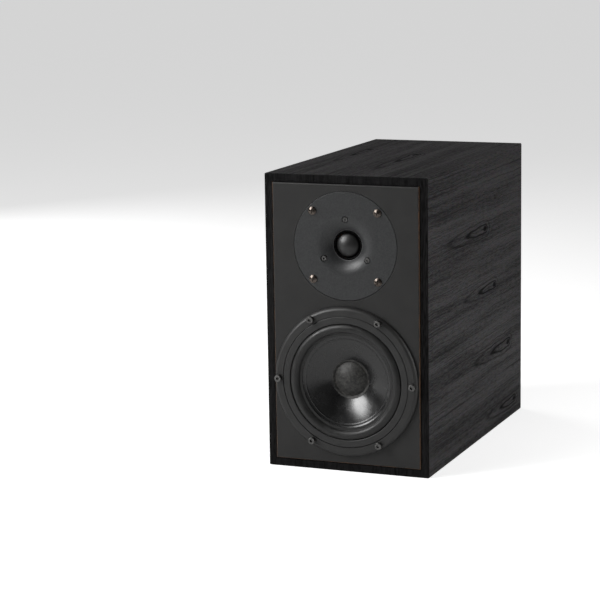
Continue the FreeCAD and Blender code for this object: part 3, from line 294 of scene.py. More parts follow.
@node_group("Veneer Grain", ("Color", "Tone", "Height"), Vector=None, Dark=BLACK, Light=BLACK)
def veneer_grain(tree, given):
    """Straight fibres from front to back, broad streaks, and knots with long contours ahead of them."""
    x, depth, z = split(tree, given["Vector"])
    wobble = minus(tree, cloud(tree, given["Vector"], 26.0, 4.0, 0.55), 0.5)
    across = plus(tree, plus(tree, x, z), times(tree, wobble, 0.005))
    nearest = eye = 9.0
    for knot in KNOTS:
        nearest = maths(tree, "MINIMUM", nearest, knot_distance(tree, depth, across, knot, 13.0))
        eye = maths(tree, "MINIMUM", eye, knot_distance(tree, depth, across, knot, 2.2))
    reach = remap(tree, nearest, 0.8, 4.2, 1.0, 0.0)
    core = remap(tree, eye, 0.55, 1.0, 1.0, 0.0)
    swing = maths(tree, "SINE", times(tree, nearest, 2.6))
    contours = remap(tree, maths(tree, "ABSOLUTE", swing), 0.1, 0.8, 1.0, 0.0)
    broad = streaks(tree, depth, plus(tree, across, times(tree, reach, 0.003)), 3.0, 48.0, 2.0)
    medium = streaks(tree, depth, across, 4.0, 330.0, 3.0)
    cracks = streaks(tree, depth, across, 4.0, 560.0, 1.0)
    pores = remap(tree, streaks(tree, depth, across, 90.0, 1000.0, 3.0), 0.38, 0.6)
    tone = plus(tree, times(tree, remap(tree, broad, 0.36, 0.64), 0.34),
                times(tree, remap(tree, medium, 0.38, 0.62), 0.26))
    tone = plus(tree, tone, times(tree, pores, 0.4))
    tone = times(tree, tone, remap(tree, cracks, 0.33, 0.42, 0.35, 1.0))
    tone = maths(tree, "MULTIPLY_ADD", tone, 0.62, 0.22)
    dark = maths(tree, "MAXIMUM", core, times(tree, contours, reach))
    tone = times(tree, tone, minus(tree, 1.0, times(tree, dark, 0.8)))
    stained = mixed(tree, tone, given["Dark"], given["Light"])
    speckle = wire(tree, "ShaderNodeTexNoise",
                   {"Vector": given["Vector"], "Scale": 520.0, "Detail": 1.0}).outputs[1]
    tinted = mixed(tree, 1.0, stained, mixed(tree, 0.85, 0.5, speckle), "OVERLAY")
    return tinted, tone, plus(tree, times(tree, pores, 0.7), times(tree, tone, 0.5))


@node_group("Plain Weave", ("Height", "Mask"), Vector=None, Threads=9000.0)
def weave(tree, given):
    """Plain weave, with threads along X and Z and some fuzz."""
    x, y, z = split(tree, given["Vector"])
    warp = maths(tree, "SINE", times(tree, x, given["Threads"]))
    weft = maths(tree, "SINE", times(tree, z, given["Threads"]))
    fuzz = times(tree, cloud(tree, given["Vector"], 2200.0, 3.0), 0.8)
    height = plus(tree, times(tree, warp, weft), fuzz)
    return height, remap(tree, height, -0.6, 1.3)


@node_group("Matted Fibre", ("Height", "Mask"), Vector=None, Scale=40.0)
def matted_fibre(tree, given):
    """Matted fibres for felt and wadding."""
    warp = wire(tree, "ShaderNodeTexNoise", {"Vector": given["Vector"], "Scale": 160.0,
                                             "Detail": 3.0, "Distortion": 2.5}).outputs[1]
    strand = wire(tree, "ShaderNodeTexVoronoi", {"Vector": warp, "Scale": given["Scale"]},
                  feature="DISTANCE_TO_EDGE").outputs[0]
    return strand, remap(tree, strand, 0.0, 0.25)


@node_group("Lathe Rings", ("Height", "Mask"), Vector=None)
def lathe_rings(tree, given):
    """Fine rings round a piece's own axis along Y, as a lathe leaves on metal."""
    pitch = 5200.0
    around = times(tree, axis_distance(tree, given["Vector"]), pitch)
    along = times(tree, split(tree, given["Vector"])[1], pitch)
    rings = cloud(tree, joined(tree, around, along), 1.0, 2.0)
    return rings, remap(tree, rings, 0.3, 0.7)


# -------------------- materials

def new_material(name, **sockets):
    """A material with constants set on its own Principled shader."""
    material = bpy.data.materials.new(name)
    material.use_nodes = True
    shader = material.node_tree.nodes["Principled BSDF"]
    for label, value in sockets.items():
        shader.inputs[label.replace("_", " ")].default_value = value
    return material, material.node_tree, shader


def surface(name, centre=(0, 0, 0), **sockets):
    """A new material with its tree, its shader and object coordinates measured from a centre."""
    material, tree, shader = new_material(name, **sockets)
    coords = wire(tree, "ShaderNodeTexCoord").outputs["Object"]
    placed = wire(tree, "ShaderNodeMapping", {"Vector": coords, "Location": [-place for place in centre]})
    return material, tree, shader, placed.outputs[0]


def dress(tree, shader, colour, shine, rough, height, depth, span=(0.0, 1.0), strength=1.0):
    """Give a shader its colour, a roughness that follows the shine over its span, and its relief."""
    relief = wire(tree, "ShaderNodeBump", {"Height": height, "Distance": depth, "Strength": strength})
    plug(tree, shader.inputs["Base Color"], colour)
    plug(tree, shader.inputs["Roughness"], remap(tree, shine, *span, *rough))
    plug(tree, shader.inputs["Normal"], relief.outputs[0])


def scaled(colour, factor):
    return [part * factor for part in colour]


def textured(name, dark, light, rough, grain=1500.0, depth=0.00004, dust=0.0, **sockets):
    """Paint or moulded plastic: two close tones, pebbled, with a little dust on what faces up."""
    material, tree, shader, coords = surface(name, **sockets)
    colour = mottle(tree, Vector=coords, Dark=dark, Light=light)["Color"]
    if dust:
        mask = settled_dust(tree, Vector=coords, Amount=dust)["Mask"]
        colour = mixed(tree, mask, colour, (0.16, 0.155, 0.15))
    grit = pebble(tree, Vector=coords, Scale=grain)
    dress(tree, shader, colour, grit["Shine"], rough, grit["Height"], depth)
    return material


def metal(name, dark, light, rough, centre=None):
    """Metal whose tone and shine vary, with lathe rings where the piece was turned."""
    material, tree, shader, coords = surface(name, centre or (0, 0, 0), Metallic=1.0)
    tones = mottle(tree, Vector=coords, Scale=400.0, Dark=dark, Light=light)
    if centre is None:
        height = pebble(tree, Vector=coords, Scale=2600.0)["Height"]
        shine = tones["Mask"]
    else:
        height, shine = lathe_rings(tree, Vector=coords)
    dress(tree, shader, tones["Color"], shine, rough, height, 0.00001)
    return material


def veneer_material():
    """Black stained veneer, with near-black edges where the boards end at the front."""
    finish = bpy.context.scene.speaker_finish
    material, tree, shader, coords = surface("Black veneer")
    x, depth, z = split(tree, coords)
    facing = split(tree, wire(tree, "ShaderNodeNewGeometry").outputs["Normal"])[1]
    front_or_back = maths(tree, "GREATER_THAN", maths(tree, "ABSOLUTE", facing), 0.8)
    laid = mixed(tree, front_or_back, coords, joined(tree, x, z))
    stained, tone, height = veneer_grain(tree, Vector=laid, Dark=finish.veneer_dark,
                                         Light=finish.veneer_light)
    dust = settled_dust(tree, Vector=coords, Amount=0.05)["Mask"]
    dusty = mixed(tree, dust, stained, (0.2, 0.195, 0.19))
    front = NODES["top_panel"].bound_box[0][1]
    edge = maths(tree, "LESS_THAN", depth, front + 0.0002)
    end_grain = mixed(tree, height, 0.001, (0.009, 0.0086, 0.009))
    dress(tree, shader, mixed(tree, edge, dusty, end_grain), tone, (0.62, 0.44), height, 0.00006)
    duller = minus(tree, 1.0, times(tree, edge, 0.35))
    shine = times(tree, remap(tree, tone, 0.0, 0.8, 0.0, 0.2), duller)
    plug(tree, shader.inputs["Specular IOR Level"], shine)
    return material


def baffle_material():
    """Fine textured paint on the front, and bare brown fibreboard on the cut sides."""
    material, tree, shader, coords = surface("Baffle paint", Specular_IOR_Level=0.42)
    tone = bpy.context.scene.speaker_finish.baffle_colour
    tones = mottle(tree, Vector=coords, Scale=45.0, Dark=scaled(tone, 0.9), Light=scaled(tone, 1.12))
    grit = pebble(tree, Vector=coords, Scale=1500.0)
    low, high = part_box("front_baffle")
    x, y, z = split(tree, coords)
    ragged = times(tree, minus(tree, cloud(tree, coords, 160.0, 4.0), 0.15), 0.0017)
    beside = maths(tree, "GREATER_THAN", plus(tree, maths(tree, "ABSOLUTE", x), ragged), high.x)
    below = maths(tree, "LESS_THAN", minus(tree, z, ragged), low.z)
    raw = maths(tree, "MAXIMUM", beside, below)
    colour = mixed(tree, raw, tones["Color"], (0.11, 0.06, 0.032))
    dress(tree, shader, colour, grit["Shine"], (0.42, 0.6), grit["Height"], 0.00005)
    return material


def cone_material():
    """Glossy black polypropylene, whose tone and roughness vary a little, with faint turned rings."""
    finish = bpy.context.scene.speaker_finish
    material, tree, shader, coords = surface("Cone polypropylene", middle_of("woofer_cone"),
                                             Specular_IOR_Level=0.6, Coat_Weight=0.3, Coat_Roughness=0.2)
    tones = mottle(tree, Vector=coords, Scale=70.0, Dark=scaled(finish.cone_colour, 0.8),
                   Light=scaled(finish.cone_colour, 1.3))
    rough = (finish.cone_roughness - 0.03, finish.cone_roughness + 0.05)
    rings = lathe_rings(tree, Vector=coords)["Height"]
    dress(tree, shader, tones["Color"], tones["Mask"], rough, rings, 0.000004, strength=0.5)
    return material


def cap_material():
    """Doped cloth: a fine weave, filled unevenly, with pale dust in it."""
    material, tree, shader, coords = surface("Cap cloth", Sheen_Weight=0.05, Sheen_Roughness=0.4)
    tones = mottle(tree, Vector=coords, Scale=330.0, Dark=0.002, Light=(0.036, 0.035, 0.032))
    specks = cloud(tree, coords, 480.0, 6.0, 0.75)
    dusty = times(tree, remap(tree, specks, 0.48, 0.62), bpy.context.scene.speaker_finish.cap_dust)
    colour = mixed(tree, dusty, tones["Color"], (0.1, 0.096, 0.088))
    cloth = weave(tree, Vector=coords, Threads=7000.0)["Height"]
    dress(tree, shader, colour, specks, (0.3, 0.6), cloth, 0.00003, span=(0.35, 0.6))
    return material


def silk_material():
    """Coated silk for the tweeter's dome and fold, with painted shade that makes it dull and black towards
    the fold.
    """
    material, tree, shader, coords = surface("Dome silk", Coat_Roughness=0.3)
    tones = mottle(tree, Vector=coords, Scale=260.0, Dark=0.006, Light=(0.013, 0.0128, 0.0125))
    radius = axis_distance(tree, coords, on_baffle("tweeter_faceplate"))
    # Painted shade: the dome's outer part and the fold are darkened, and lose their coat and specular
    # shine, towards the fold.
    shade = remap(tree, radius, 0.0098, 0.0122, 0.0, 0.9)
    plug(tree, shader.inputs["Coat Weight"], remap(tree, shade, 0.0, 0.9, 0.3, 0.0))
    plug(tree, shader.inputs["Specular IOR Level"], remap(tree, shade, 0.0, 0.9, 0.5, 0.05))
    cloth = weave(tree, Vector=coords, Threads=14000.0)
    colour = mixed(tree, shade, tones["Color"], 0.001)
    dress(tree, shader, colour, cloth["Mask"], (0.5, 0.36), cloth["Height"], 0.000012)
    return material


def plate_material():
    """Fine sand-textured paint, with a paler line painted along the throat's edge as a highlight."""
    material, tree, shader, coords = surface("Tweeter plate")
    tones = mottle(tree, Vector=coords, Scale=650.0, Dark=(0.0205, 0.0213, 0.022),
                   Light=(0.0345, 0.0355, 0.0364))
    radius = axis_distance(tree, coords, on_baffle("tweeter_faceplate"))
    off_edge = maths(tree, "ABSOLUTE", minus(tree, radius, THROAT_RADIUS))
    # Painted highlight: a paler ring in the colour along the throat's edge.
    throat_edge_highlight = remap(tree, off_edge, 0.0002, 0.0008, 0.9, 0.0)
    colour = mixed(tree, throat_edge_highlight, tones["Color"], (0.14, 0.141, 0.142))
    grit = pebble(tree, Vector=coords, Scale=900.0)
    dress(tree, shader, colour, grit["Shine"], (0.36, 0.5), grit["Height"], 0.00006)
    return material


def rubber_material():
    """Matt black rubber with a slight bloom."""
    material, tree, shader, coords = surface("Surround rubber", Specular_IOR_Level=0.45,
                                             Sheen_Weight=0.05, Sheen_Roughness=0.5)
    tones = mottle(tree, Vector=coords, Scale=110.0, Dark=(0.0105, 0.0104, 0.0102),
                   Light=(0.016, 0.0158, 0.0154))
    grit = pebble(tree, Vector=coords, Scale=2600.0)["Height"]
    dress(tree, shader, tones["Color"], tones["Mask"], (0.36, 0.5), grit, 0.000012)
    return material


def cloth_material(name, dark, light):
    """Open woven cloth stiffened with resin."""
    material, tree, shader, coords = surface(name, Sheen_Weight=0.2)
    cloth = weave(tree, Vector=coords, Threads=6000.0)
    colour = mixed(tree, cloth["Mask"], dark, light)
    dress(tree, shader, colour, cloth["Mask"], (0.9, 0.7), cloth["Height"], 0.00006)
    return material


def fibre_material(name, dark, light, scale, depth):
    """Felt or loose wadding."""
    material, tree, shader, coords = surface(name, Sheen_Weight=0.35, Sheen_Roughness=0.6)
    fibre = matted_fibre(tree, Vector=coords, Scale=scale)
    tones = mottle(tree, Vector=coords, Scale=30.0, Dark=dark, Light=light)
    colour = mixed(tree, fibre["Mask"], tones["Color"], scaled(dark, 0.6))
    dress(tree, shader, colour, fibre["Mask"], (0.85, 0.98), fibre["Height"], depth)
    return material


def board_material(name, dark, light, scale):
    """Bare particle or fibre board: flecks of two tones."""
    material, tree, shader, coords = surface(name)
    flecks = wire(tree, "ShaderNodeTexVoronoi", {"Vector": coords, "Scale": scale}).outputs["Color"]
    mask = wire(tree, "ShaderNodeSeparateColor", {0: flecks}).outputs[0]
    dress(tree, shader, mixed(tree, mask, dark, light), mask, (0.7, 0.92), mask, 0.00005)
    return material


def copper_material():
    """Enamelled copper wire laid in turns."""
    material, tree, shader, coords = surface("Enamelled copper", Metallic=0.9, Coat_Weight=0.6,
                                             Coat_Roughness=0.1)
    tones = mottle(tree, Vector=coords, Scale=300.0, Dark=(0.42, 0.13, 0.045), Light=(0.62, 0.24, 0.09))
    turns = wire(tree, "ShaderNodeTexWave", {"Vector": coords, "Scale": 420.0, "Distortion": 0.6},
                 bands_direction="Z").outputs[1]
    dress(tree, shader, tones["Color"], tones["Mask"], (0.22, 0.36), turns, 0.00015, strength=0.6)
    return material


FINISHES = {
    "cabinet_veneer": veneer_material,
    "baffle_paint": baffle_material,
    "surround_rubber": rubber_material,
    "cone_poly": cone_material,
    "cap_cloth": cap_material,
    "copper": copper_material,
    "tweeter_plate": plate_material,
    "dome_silk": silk_material,
    "spider_cloth": lambda: cloth_material("Spider cloth", (0.16, 0.09, 0.03), (0.42, 0.27, 0.1)),
    "felt": lambda: fibre_material(
        "Grey felt", (0.05, 0.05, 0.052), (0.12, 0.12, 0.125), 60.0, 0.0005),
    "wadding": lambda: fibre_material(
        "White wadding", (0.62, 0.62, 0.6), (0.8, 0.8, 0.78), 26.0, 0.0015),
    "raw_board": lambda: board_material(
        "Bare fibreboard", (0.16, 0.095, 0.052), (0.3, 0.19, 0.11), 900.0),
    "tag_fibre": lambda: board_material("Tag fibre", (0.2, 0.11, 0.05), (0.3, 0.18, 0.09), 1600.0),
    "resistor_ceramic": lambda: board_material(
        "Resistor ceramic", (0.62, 0.6, 0.54), (0.78, 0.76, 0.7), 2200.0),
    "zinc_steel": lambda: metal(
        "Zinc plated steel", (0.42, 0.43, 0.4), (0.62, 0.63, 0.6), (0.28, 0.42), middle_of("woofer_yoke")),
    "black_bolt": lambda: metal(
        "Black oxide steel", (0.1, 0.099, 0.097), (0.19, 0.187, 0.183), (0.3, 0.42)),
    "nickel_screw": lambda: metal(
        "Nickel screw", (0.075, 0.063, 0.055), (0.16, 0.135, 0.118), (0.2, 0.34)),
    "brass": lambda: metal("Brass", (0.5, 0.34, 0.12), (0.7, 0.5, 0.2), (0.25, 0.4)),
    "gold_plate": lambda: metal("Gold plate", (0.75, 0.5, 0.17), (0.92, 0.66, 0.28), (0.14, 0.26)),
    "foam_gasket": lambda: textured("Foam gasket", 0.008, 0.02, (0.8, 0.95), 900.0, 0.0002),
    "cast_frame": lambda: textured(
        "Satin black casting", (0.0155, 0.0152, 0.0148), (0.0205, 0.0202, 0.0196), (0.42, 0.56),
        2200.0, 0.000015, 0.04),
    "trim_plastic": lambda: textured(
        "Trim plastic", (0.0165, 0.0163, 0.016), (0.021, 0.0208, 0.0204), (0.42, 0.56),
        2400.0, 0.000015, 0.03),
    "former": lambda: textured(
        "Polyimide former", (0.24, 0.1, 0.02), (0.34, 0.16, 0.04), (0.25, 0.4), 3000.0, 0.000005),
    "ferrite": lambda: textured(
        "Ferrite", (0.018, 0.018, 0.019), (0.035, 0.035, 0.036), (0.45, 0.65), 1300.0, 0.00005),
    "cup_plastic": lambda: textured("Black nylon", 0.012, 0.022, (0.4, 0.6), 1700.0),
    "port_plastic": lambda: textured("Port plastic", 0.01, 0.017, (0.38, 0.52), 1500.0, 0.00003, 0.05),
    "terminal_metal": lambda: textured(
        "Powder coated plate", (0.012, 0.012, 0.0125), (0.02, 0.02, 0.0205), (0.4, 0.58),
        1200.0, 0.00006, 0.04),
    "post_red": lambda: textured(
        "Red knob", (0.3, 0.012, 0.01), (0.42, 0.02, 0.016), (0.2, 0.34), 2400.0, 0.00001,
        Coat_Weight=0.3),
    "post_black": lambda: textured(
        "Black knob", 0.01, 0.018, (0.2, 0.34), 2400.0, 0.00001, Coat_Weight=0.3),
    "circuit_board": lambda: textured(
        "Circuit board", (0.01, 0.055, 0.02), (0.018, 0.09, 0.035), (0.3, 0.45), 700.0, 0.00003),
    "pillar_plastic": lambda: textured("White nylon", (0.6, 0.58, 0.52), (0.74, 0.72, 0.66), (0.35, 0.5)),
    "capacitor_film": lambda: textured(
        "Capacitor film", (0.5, 0.36, 0.06), (0.62, 0.46, 0.1), (0.2, 0.35), 900.0, 0.00005),
    "lead_sleeve": lambda: textured(
        "Lead sleeve", (0.24, 0.014, 0.012), (0.34, 0.02, 0.018), (0.35, 0.5), 2600.0, 0.00001),
}

made_materials = {}


def finish_for(slot):
    """The slot's material, made when it is first asked for."""
    if slot not in made_materials:
        made_materials[slot] = FINISHES[slot]()
    return made_materials[slot]


def paint(*names):
    """Give CAD parts that keep their shape their finish."""
    for name in names:
        for spot in NODES[name].material_slots:
            spot.material = finish_for(SLOT_OF[name])


# -------------------- modelling helpers

def middle_of(name):
    """The middle of a CAD part's box."""
    low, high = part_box(name)
    return (low + high) / 2


def on_baffle(name):
    """The middle of a CAD part, moved to the plane of the baffle's front."""
    middle = middle_of(name)
    return Vector((middle.x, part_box("front_baffle")[0].y, middle.z))


class Chain:
    """A chain of points in the plane of radius and depth, in millimetres, that is spun about Y."""

    def __init__(self, radius, depth):
        self.mesh = bmesh.new()
        self.tip = self.mesh.verts.new((radius * MM, depth * MM, 0))
        self.first = self.tip

    def line(self, *spots):
        for radius, depth in spots:
            reached = self.mesh.verts.new((radius * MM, depth * MM, 0))
            self.mesh.edges.new((self.tip, reached))
            self.tip = reached
        return self

    def bow(self, radius, depth, rise, steps):
        """An arc to the next point. It rises to the left of the way there, or if negative to the right."""
        goal = Vector((radius * MM, depth * MM, 0))
        way = goal - self.tip.co
        half = way.length / 2
        sag = abs(rise) * MM
        size = (half * half + sag * sag) / (2 * sag)
        left = Vector((-way.y, way.x, 0)).normalized() * math.copysign(1, rise)
        centre = (self.tip.co + goal) / 2 - left * (size - sag)
        angle = 2 * math.atan2(half, size - sag) * -math.copysign(1, rise)
        turned = bmesh.ops.spin(self.mesh, geom=[self.tip], cent=centre, axis=(0, 0, 1), angle=angle,
                                steps=steps, use_duplicate=False)
        self.tip = next(item for item in turned["geom_last"] if isinstance(item, bmesh.types.BMVert))
        return self

    def close(self):
        self.mesh.edges.new((self.tip, self.first))
        return self

    def soften(self, width, segments=3):
        """Round every corner of the chain that turns more than a little."""
        corners = []
        for spot in self.mesh.verts:
            if len(spot.link_edges) != 2 or abs(spot.co.x) < 1e-7:
                continue
            ways = [(edge.other_vert(spot).co - spot.co).normalized() for edge in spot.link_edges]
            if ways[0].angle(ways[1]) < math.radians(155):
                corners.append(spot)
        bmesh.ops.bevel(self.mesh, geom=corners, offset=width * MM, segments=segments, profile=0.5,
                        affect="VERTICES", clamp_overlap=True, material=-1)
        return self

    def spun(self, centre, steps=None):
        """The turned solid, moved to its place."""
        count = steps or bpy.context.scene.speaker_shape.turning_steps
        mesh = self.mesh
        bmesh.ops.spin(mesh, geom=mesh.verts[:] + mesh.edges[:], cent=(0, 0, 0), axis=(0, 1, 0),
                       angle=2 * math.pi, steps=count, use_merge=True, use_duplicate=False)
        bmesh.ops.remove_doubles(mesh, verts=mesh.verts[:], dist=1e-6)
        bmesh.ops.dissolve_degenerate(mesh, edges=mesh.edges[:], dist=1e-7)
        bmesh.ops.translate(mesh, verts=mesh.verts[:], vec=centre)
        bmesh.ops.recalc_face_normals(mesh, faces=mesh.faces[:])
        return mesh


def merged_copy(name):
    """A CAD part's mesh, merged and with its flat faces made whole."""
    mesh = bmesh.new()
    mesh.from_mesh(NODES[name].data)
    bmesh.ops.remove_doubles(mesh, verts=mesh.verts[:], dist=2e-6)
    bmesh.ops.dissolve_degenerate(mesh, edges=mesh.edges[:], dist=1e-6)
    bmesh.ops.dissolve_limit(mesh, angle_limit=math.radians(0.5), verts=mesh.verts[:],
                             edges=mesh.edges[:], use_dissolve_boundaries=False)
    return mesh


def ease_edges(mesh, width, segments=2, sharper_than=38, allowed=None):
    """Bevel the mesh's sharp edges."""
    sharp = [edge for edge in mesh.edges if len(edge.link_faces) == 2
             and edge.calc_face_angle() > math.radians(sharper_than)
             and (allowed is None or allowed(edge))]
    bmesh.ops.bevel(mesh, geom=sharp, offset=width, offset_type="OFFSET", segments=segments, profile=0.5,
                    affect="EDGES", clamp_overlap=True, material=-1)


def object_from(mesh, name):
    """A new object in the scene that holds a finished bmesh."""
    data = bpy.data.meshes.new(name)
    mesh.to_mesh(data)
    mesh.free()
    made = bpy.data.objects.new(name, data)
    bpy.context.scene.collection.objects.link(made)
    return made


def publish(mesh, name, slot, body=CABINET, replaced=(), ride=True):
    """Turn a finished bmesh into a piece with its finish, on its body."""
    for face in mesh.faces:
        face.smooth = True
    for edge in mesh.edges:
        broad = any(face.calc_area() > BROAD_FACE for face in edge.link_faces)
        paired = len(edge.link_faces) == 2
        edge.smooth = not paired or (edge.calc_face_angle() < math.radians(SMOOTH_TO) and not broad)
    piece = object_from(mesh, name)
    piece.data.materials.append(finish_for(slot))
    if ride:
        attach(piece, body)
    if replaced:
        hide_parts(*replaced)
    return piece


def foam_copy(name):
    """A foam gasket with soft edges and a slightly uneven outline."""
    mesh = merged_copy(name)
    ease_edges(mesh, 0.0003, segments=3)
    uneven = 0.00012
    for spot in mesh.verts:
        spot.co.x += uneven * noise.noise(spot.co * 90)
        spot.co.z += uneven * noise.noise(spot.co * 90 + Vector((5, 1, 3)))
    publish(mesh, name + "_cut", SLOT_OF[name], replaced=[name])


def bend_radially(piece):
    """Bake a ring-shaped piece's placement into its mesh; it is not blended between bodies."""
    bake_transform(piece)


# -------------------- operators

class SPEAKER_OT_stage(bpy.types.Operator):
    """Pale floor, soft lights and the camera"""
    bl_idname = "speaker.stage"
    bl_label = "Stage"

    def execute(self, context):
        setup = context.scene.speaker_stage
        self.floor()
        self.room(context, setup)
        middle = Vector((0, -0.1, 0.15))
        self.softbox("Key light", middle, (-0.69, -0.54, 0.48), 1.7, 0.8, setup.key_power)
        self.softbox("Top light", middle, (-0.65, -0.62, 0.92), 1.8, 1.0, setup.top_power)
        self.softbox("Back light", middle, (-1.0, 0.62, 0.4), 1.8, 0.9, setup.back_power)
        self.softbox("Fill light", middle, (0.95, 0.16, 0.4), 1.0, 0.6, setup.fill_power)
        self.camera(context, setup)
        return {"FINISHED"}

    def floor(self):
        mesh = bmesh.new()
        bmesh.ops.create_circle(mesh, cap_ends=True, radius=15, segments=96)
        floor = object_from(mesh, "floor")
        material, tree, shader = new_material("Pale floor", Roughness=0.9, Specular_IOR_Level=0.0)
        shader.inputs["Emission Color"].default_value = (1, 1, 1, 1)
        seen = wire(tree, "ShaderNodeLightPath").outputs["Is Camera Ray"]
        plug(tree, shader.inputs["Base Color"], mixed(tree, seen, 0.8, 0.9))
        plug(tree, shader.inputs["Emission Strength"], times(tree, seen, 0.6))
        floor.data.materials.append(material)

    def room(self, context, setup):
        """White where the camera sees it, and dim in reflections, dimmer overhead."""
        world = bpy.data.worlds.new("Room")
        world.use_nodes = True
        tree = world.node_tree
        backdrop = tree.nodes["Background"]
        seen = wire(tree, "ShaderNodeLightPath").outputs["Is Camera Ray"]
        way = wire(tree, "ShaderNodeTexCoord").outputs["Generated"]
        wall = remap(tree, split(tree, way)[2], 0.1, 0.8, setup.room_light, setup.room_light * 0.3)
        plug(tree, backdrop.inputs["Strength"], maths(tree, "MAXIMUM", seen, wall))
        backdrop.inputs["Color"].default_value = (1, 1, 1, 1)
        context.scene.world = world

    def softbox(self, name, middle, direction, distance, size, power):
        """A square light at a distance from the middle, turned to face it."""
        data = bpy.data.lights.new(name, "AREA")
        data.shape = "SQUARE"
        data.size = size
        data.energy = power
        lamp = bpy.data.objects.new(name, data)
        way = Vector(direction).normalized()
        lamp.location = middle + way * distance
        lamp.rotation_euler = way.to_track_quat("Z", "Y").to_euler()
        bpy.context.scene.collection.objects.link(lamp)

    def camera(self, context, setup):
        data = bpy.data.cameras.new("Camera")
        data.lens = setup.lens
        data.sensor_width = 36
        camera = bpy.data.objects.new("Camera", data)
        context.scene.collection.objects.link(camera)
        level = math.cos(setup.elevation)
        back = Vector((math.sin(setup.azimuth) * level, -math.cos(setup.azimuth) * level,
                       math.sin(setup.elevation)))
        camera.rotation_mode = "QUATERNION"
        camera.location = Vector(setup.target) + back * setup.distance
        look = (-back).to_track_quat("-Z", "Y")
        look.rotate(Quaternion(back, setup.roll))
        camera.rotation_quaternion = look
        context.scene.camera = camera
        view = context.scene.view_settings
        view.view_transform = "Standard"
        view.look = "None"
        view.exposure = 0
        view.gamma = 1


class SPEAKER_OT_cabinet(bpy.types.Operator):
    """The veneered boards, the painted front and the back board"""
    bl_idname = "speaker.cabinet"
    bl_label = "Cabinet"

    def execute(self, context):
        ease = context.scene.speaker_shape.edge_ease
        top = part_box("top_panel")[1].z

        def off_mitre(edge):
            """True unless the edge lies on a mitre, where two boards meet."""
            return not all(abs(CABINET_HALF - abs(spot.co.x) - min(spot.co.z, top - spot.co.z)) < 2e-4
                           for spot in edge.verts)

        for name in ("top_panel", "bottom_panel", "side_panel_left", "side_panel_right"):
            mesh = merged_copy(name)
            ease_edges(mesh, ease, allowed=off_mitre)
            publish(mesh, name + "_veneered", "cabinet_veneer", replaced=[name])
        paint("front_baffle", "back_panel", "window_brace")
        return {"FINISHED"}


class SPEAKER_OT_damping(bpy.types.Operator):
    """Felt sheets on the walls and the loose wadding behind the woofer"""
    bl_idname = "speaker.damping"
    bl_label = "Damping"

    def execute(self, context):
        mesh = merged_copy("damping_felt")
        ease_edges(mesh, 0.0012)
        long_edges = [edge for edge in mesh.edges if edge.calc_length() > 0.03]
        bmesh.ops.subdivide_edges(mesh, edges=long_edges, cuts=10, use_grid_fill=True)
        for spot in mesh.verts:
            spot.co.y += 0.0005 * noise.noise(spot.co * 70)
            spot.co.z += 0.0005 * noise.noise(spot.co * 70 + Vector((3, 5, 7)))
        publish(mesh, "damping_felt_sheets", "felt", replaced=["damping_felt"])
        self.wadding()
        return {"FINISHED"}

    def wadding(self):
        """A lumpy pad that keeps inside its box."""
        low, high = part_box("acoustic_wadding")
        size = high - low
        mesh = bmesh.new()
        bmesh.ops.create_cube(mesh, size=1)
        bmesh.ops.subdivide_edges(mesh, edges=mesh.edges[:], cuts=28, use_grid_fill=True)
        for step in range(14):
            bmesh.ops.smooth_vert(mesh, verts=mesh.verts[:], factor=0.5,
                                  use_axis_x=True, use_axis_y=True, use_axis_z=True)
        reach = [max(abs(spot.co[axis]) for spot in mesh.verts) for axis in range(3)]
        shrink = 0.94
        bmesh.ops.scale(mesh, verts=mesh.verts[:],
                        vec=[size[axis] / 2 / reach[axis] * shrink for axis in range(3)])
        mesh.normal_update()
        for spot in mesh.verts:
            lump = noise.fractal(spot.co * 45, 1.0, 2.0, 4)
            spot.co += spot.normal * 0.0022 * lump
        bmesh.ops.translate(mesh, verts=mesh.verts[:], vec=(low + high) / 2)
        piece = publish(mesh, "acoustic_wadding_pad", "wadding", replaced=["acoustic_wadding"])


class SPEAKER_OT_woofer_frame(bpy.types.Operator):
    """The cast frame with its flange, gasket, trim ring and bolts"""
    bl_idname = "speaker.woofer_frame"
    bl_label = "Woofer Frame"

    def execute(self, context):
        centre = on_baffle("woofer_trim_ring")
        ring = Chain(59.3, -2.8)
        ring.line((59.3, -3.9)).bow(60.3, -4.9, -0.28, 5).bow(66.1, -4.95, -0.05, 6)
        ring.line((66.75, -4.4), (66.75, -2.8)).close().soften(0.18)
        publish(ring.spun(centre), "woofer_trim_ring_turned", "trim_plastic",
                replaced=["woofer_trim_ring"])
        foam_copy("woofer_gasket")
        paint("woofer_basket", "woofer_inserts", "woofer_bolts")
        return {"FINISHED"}


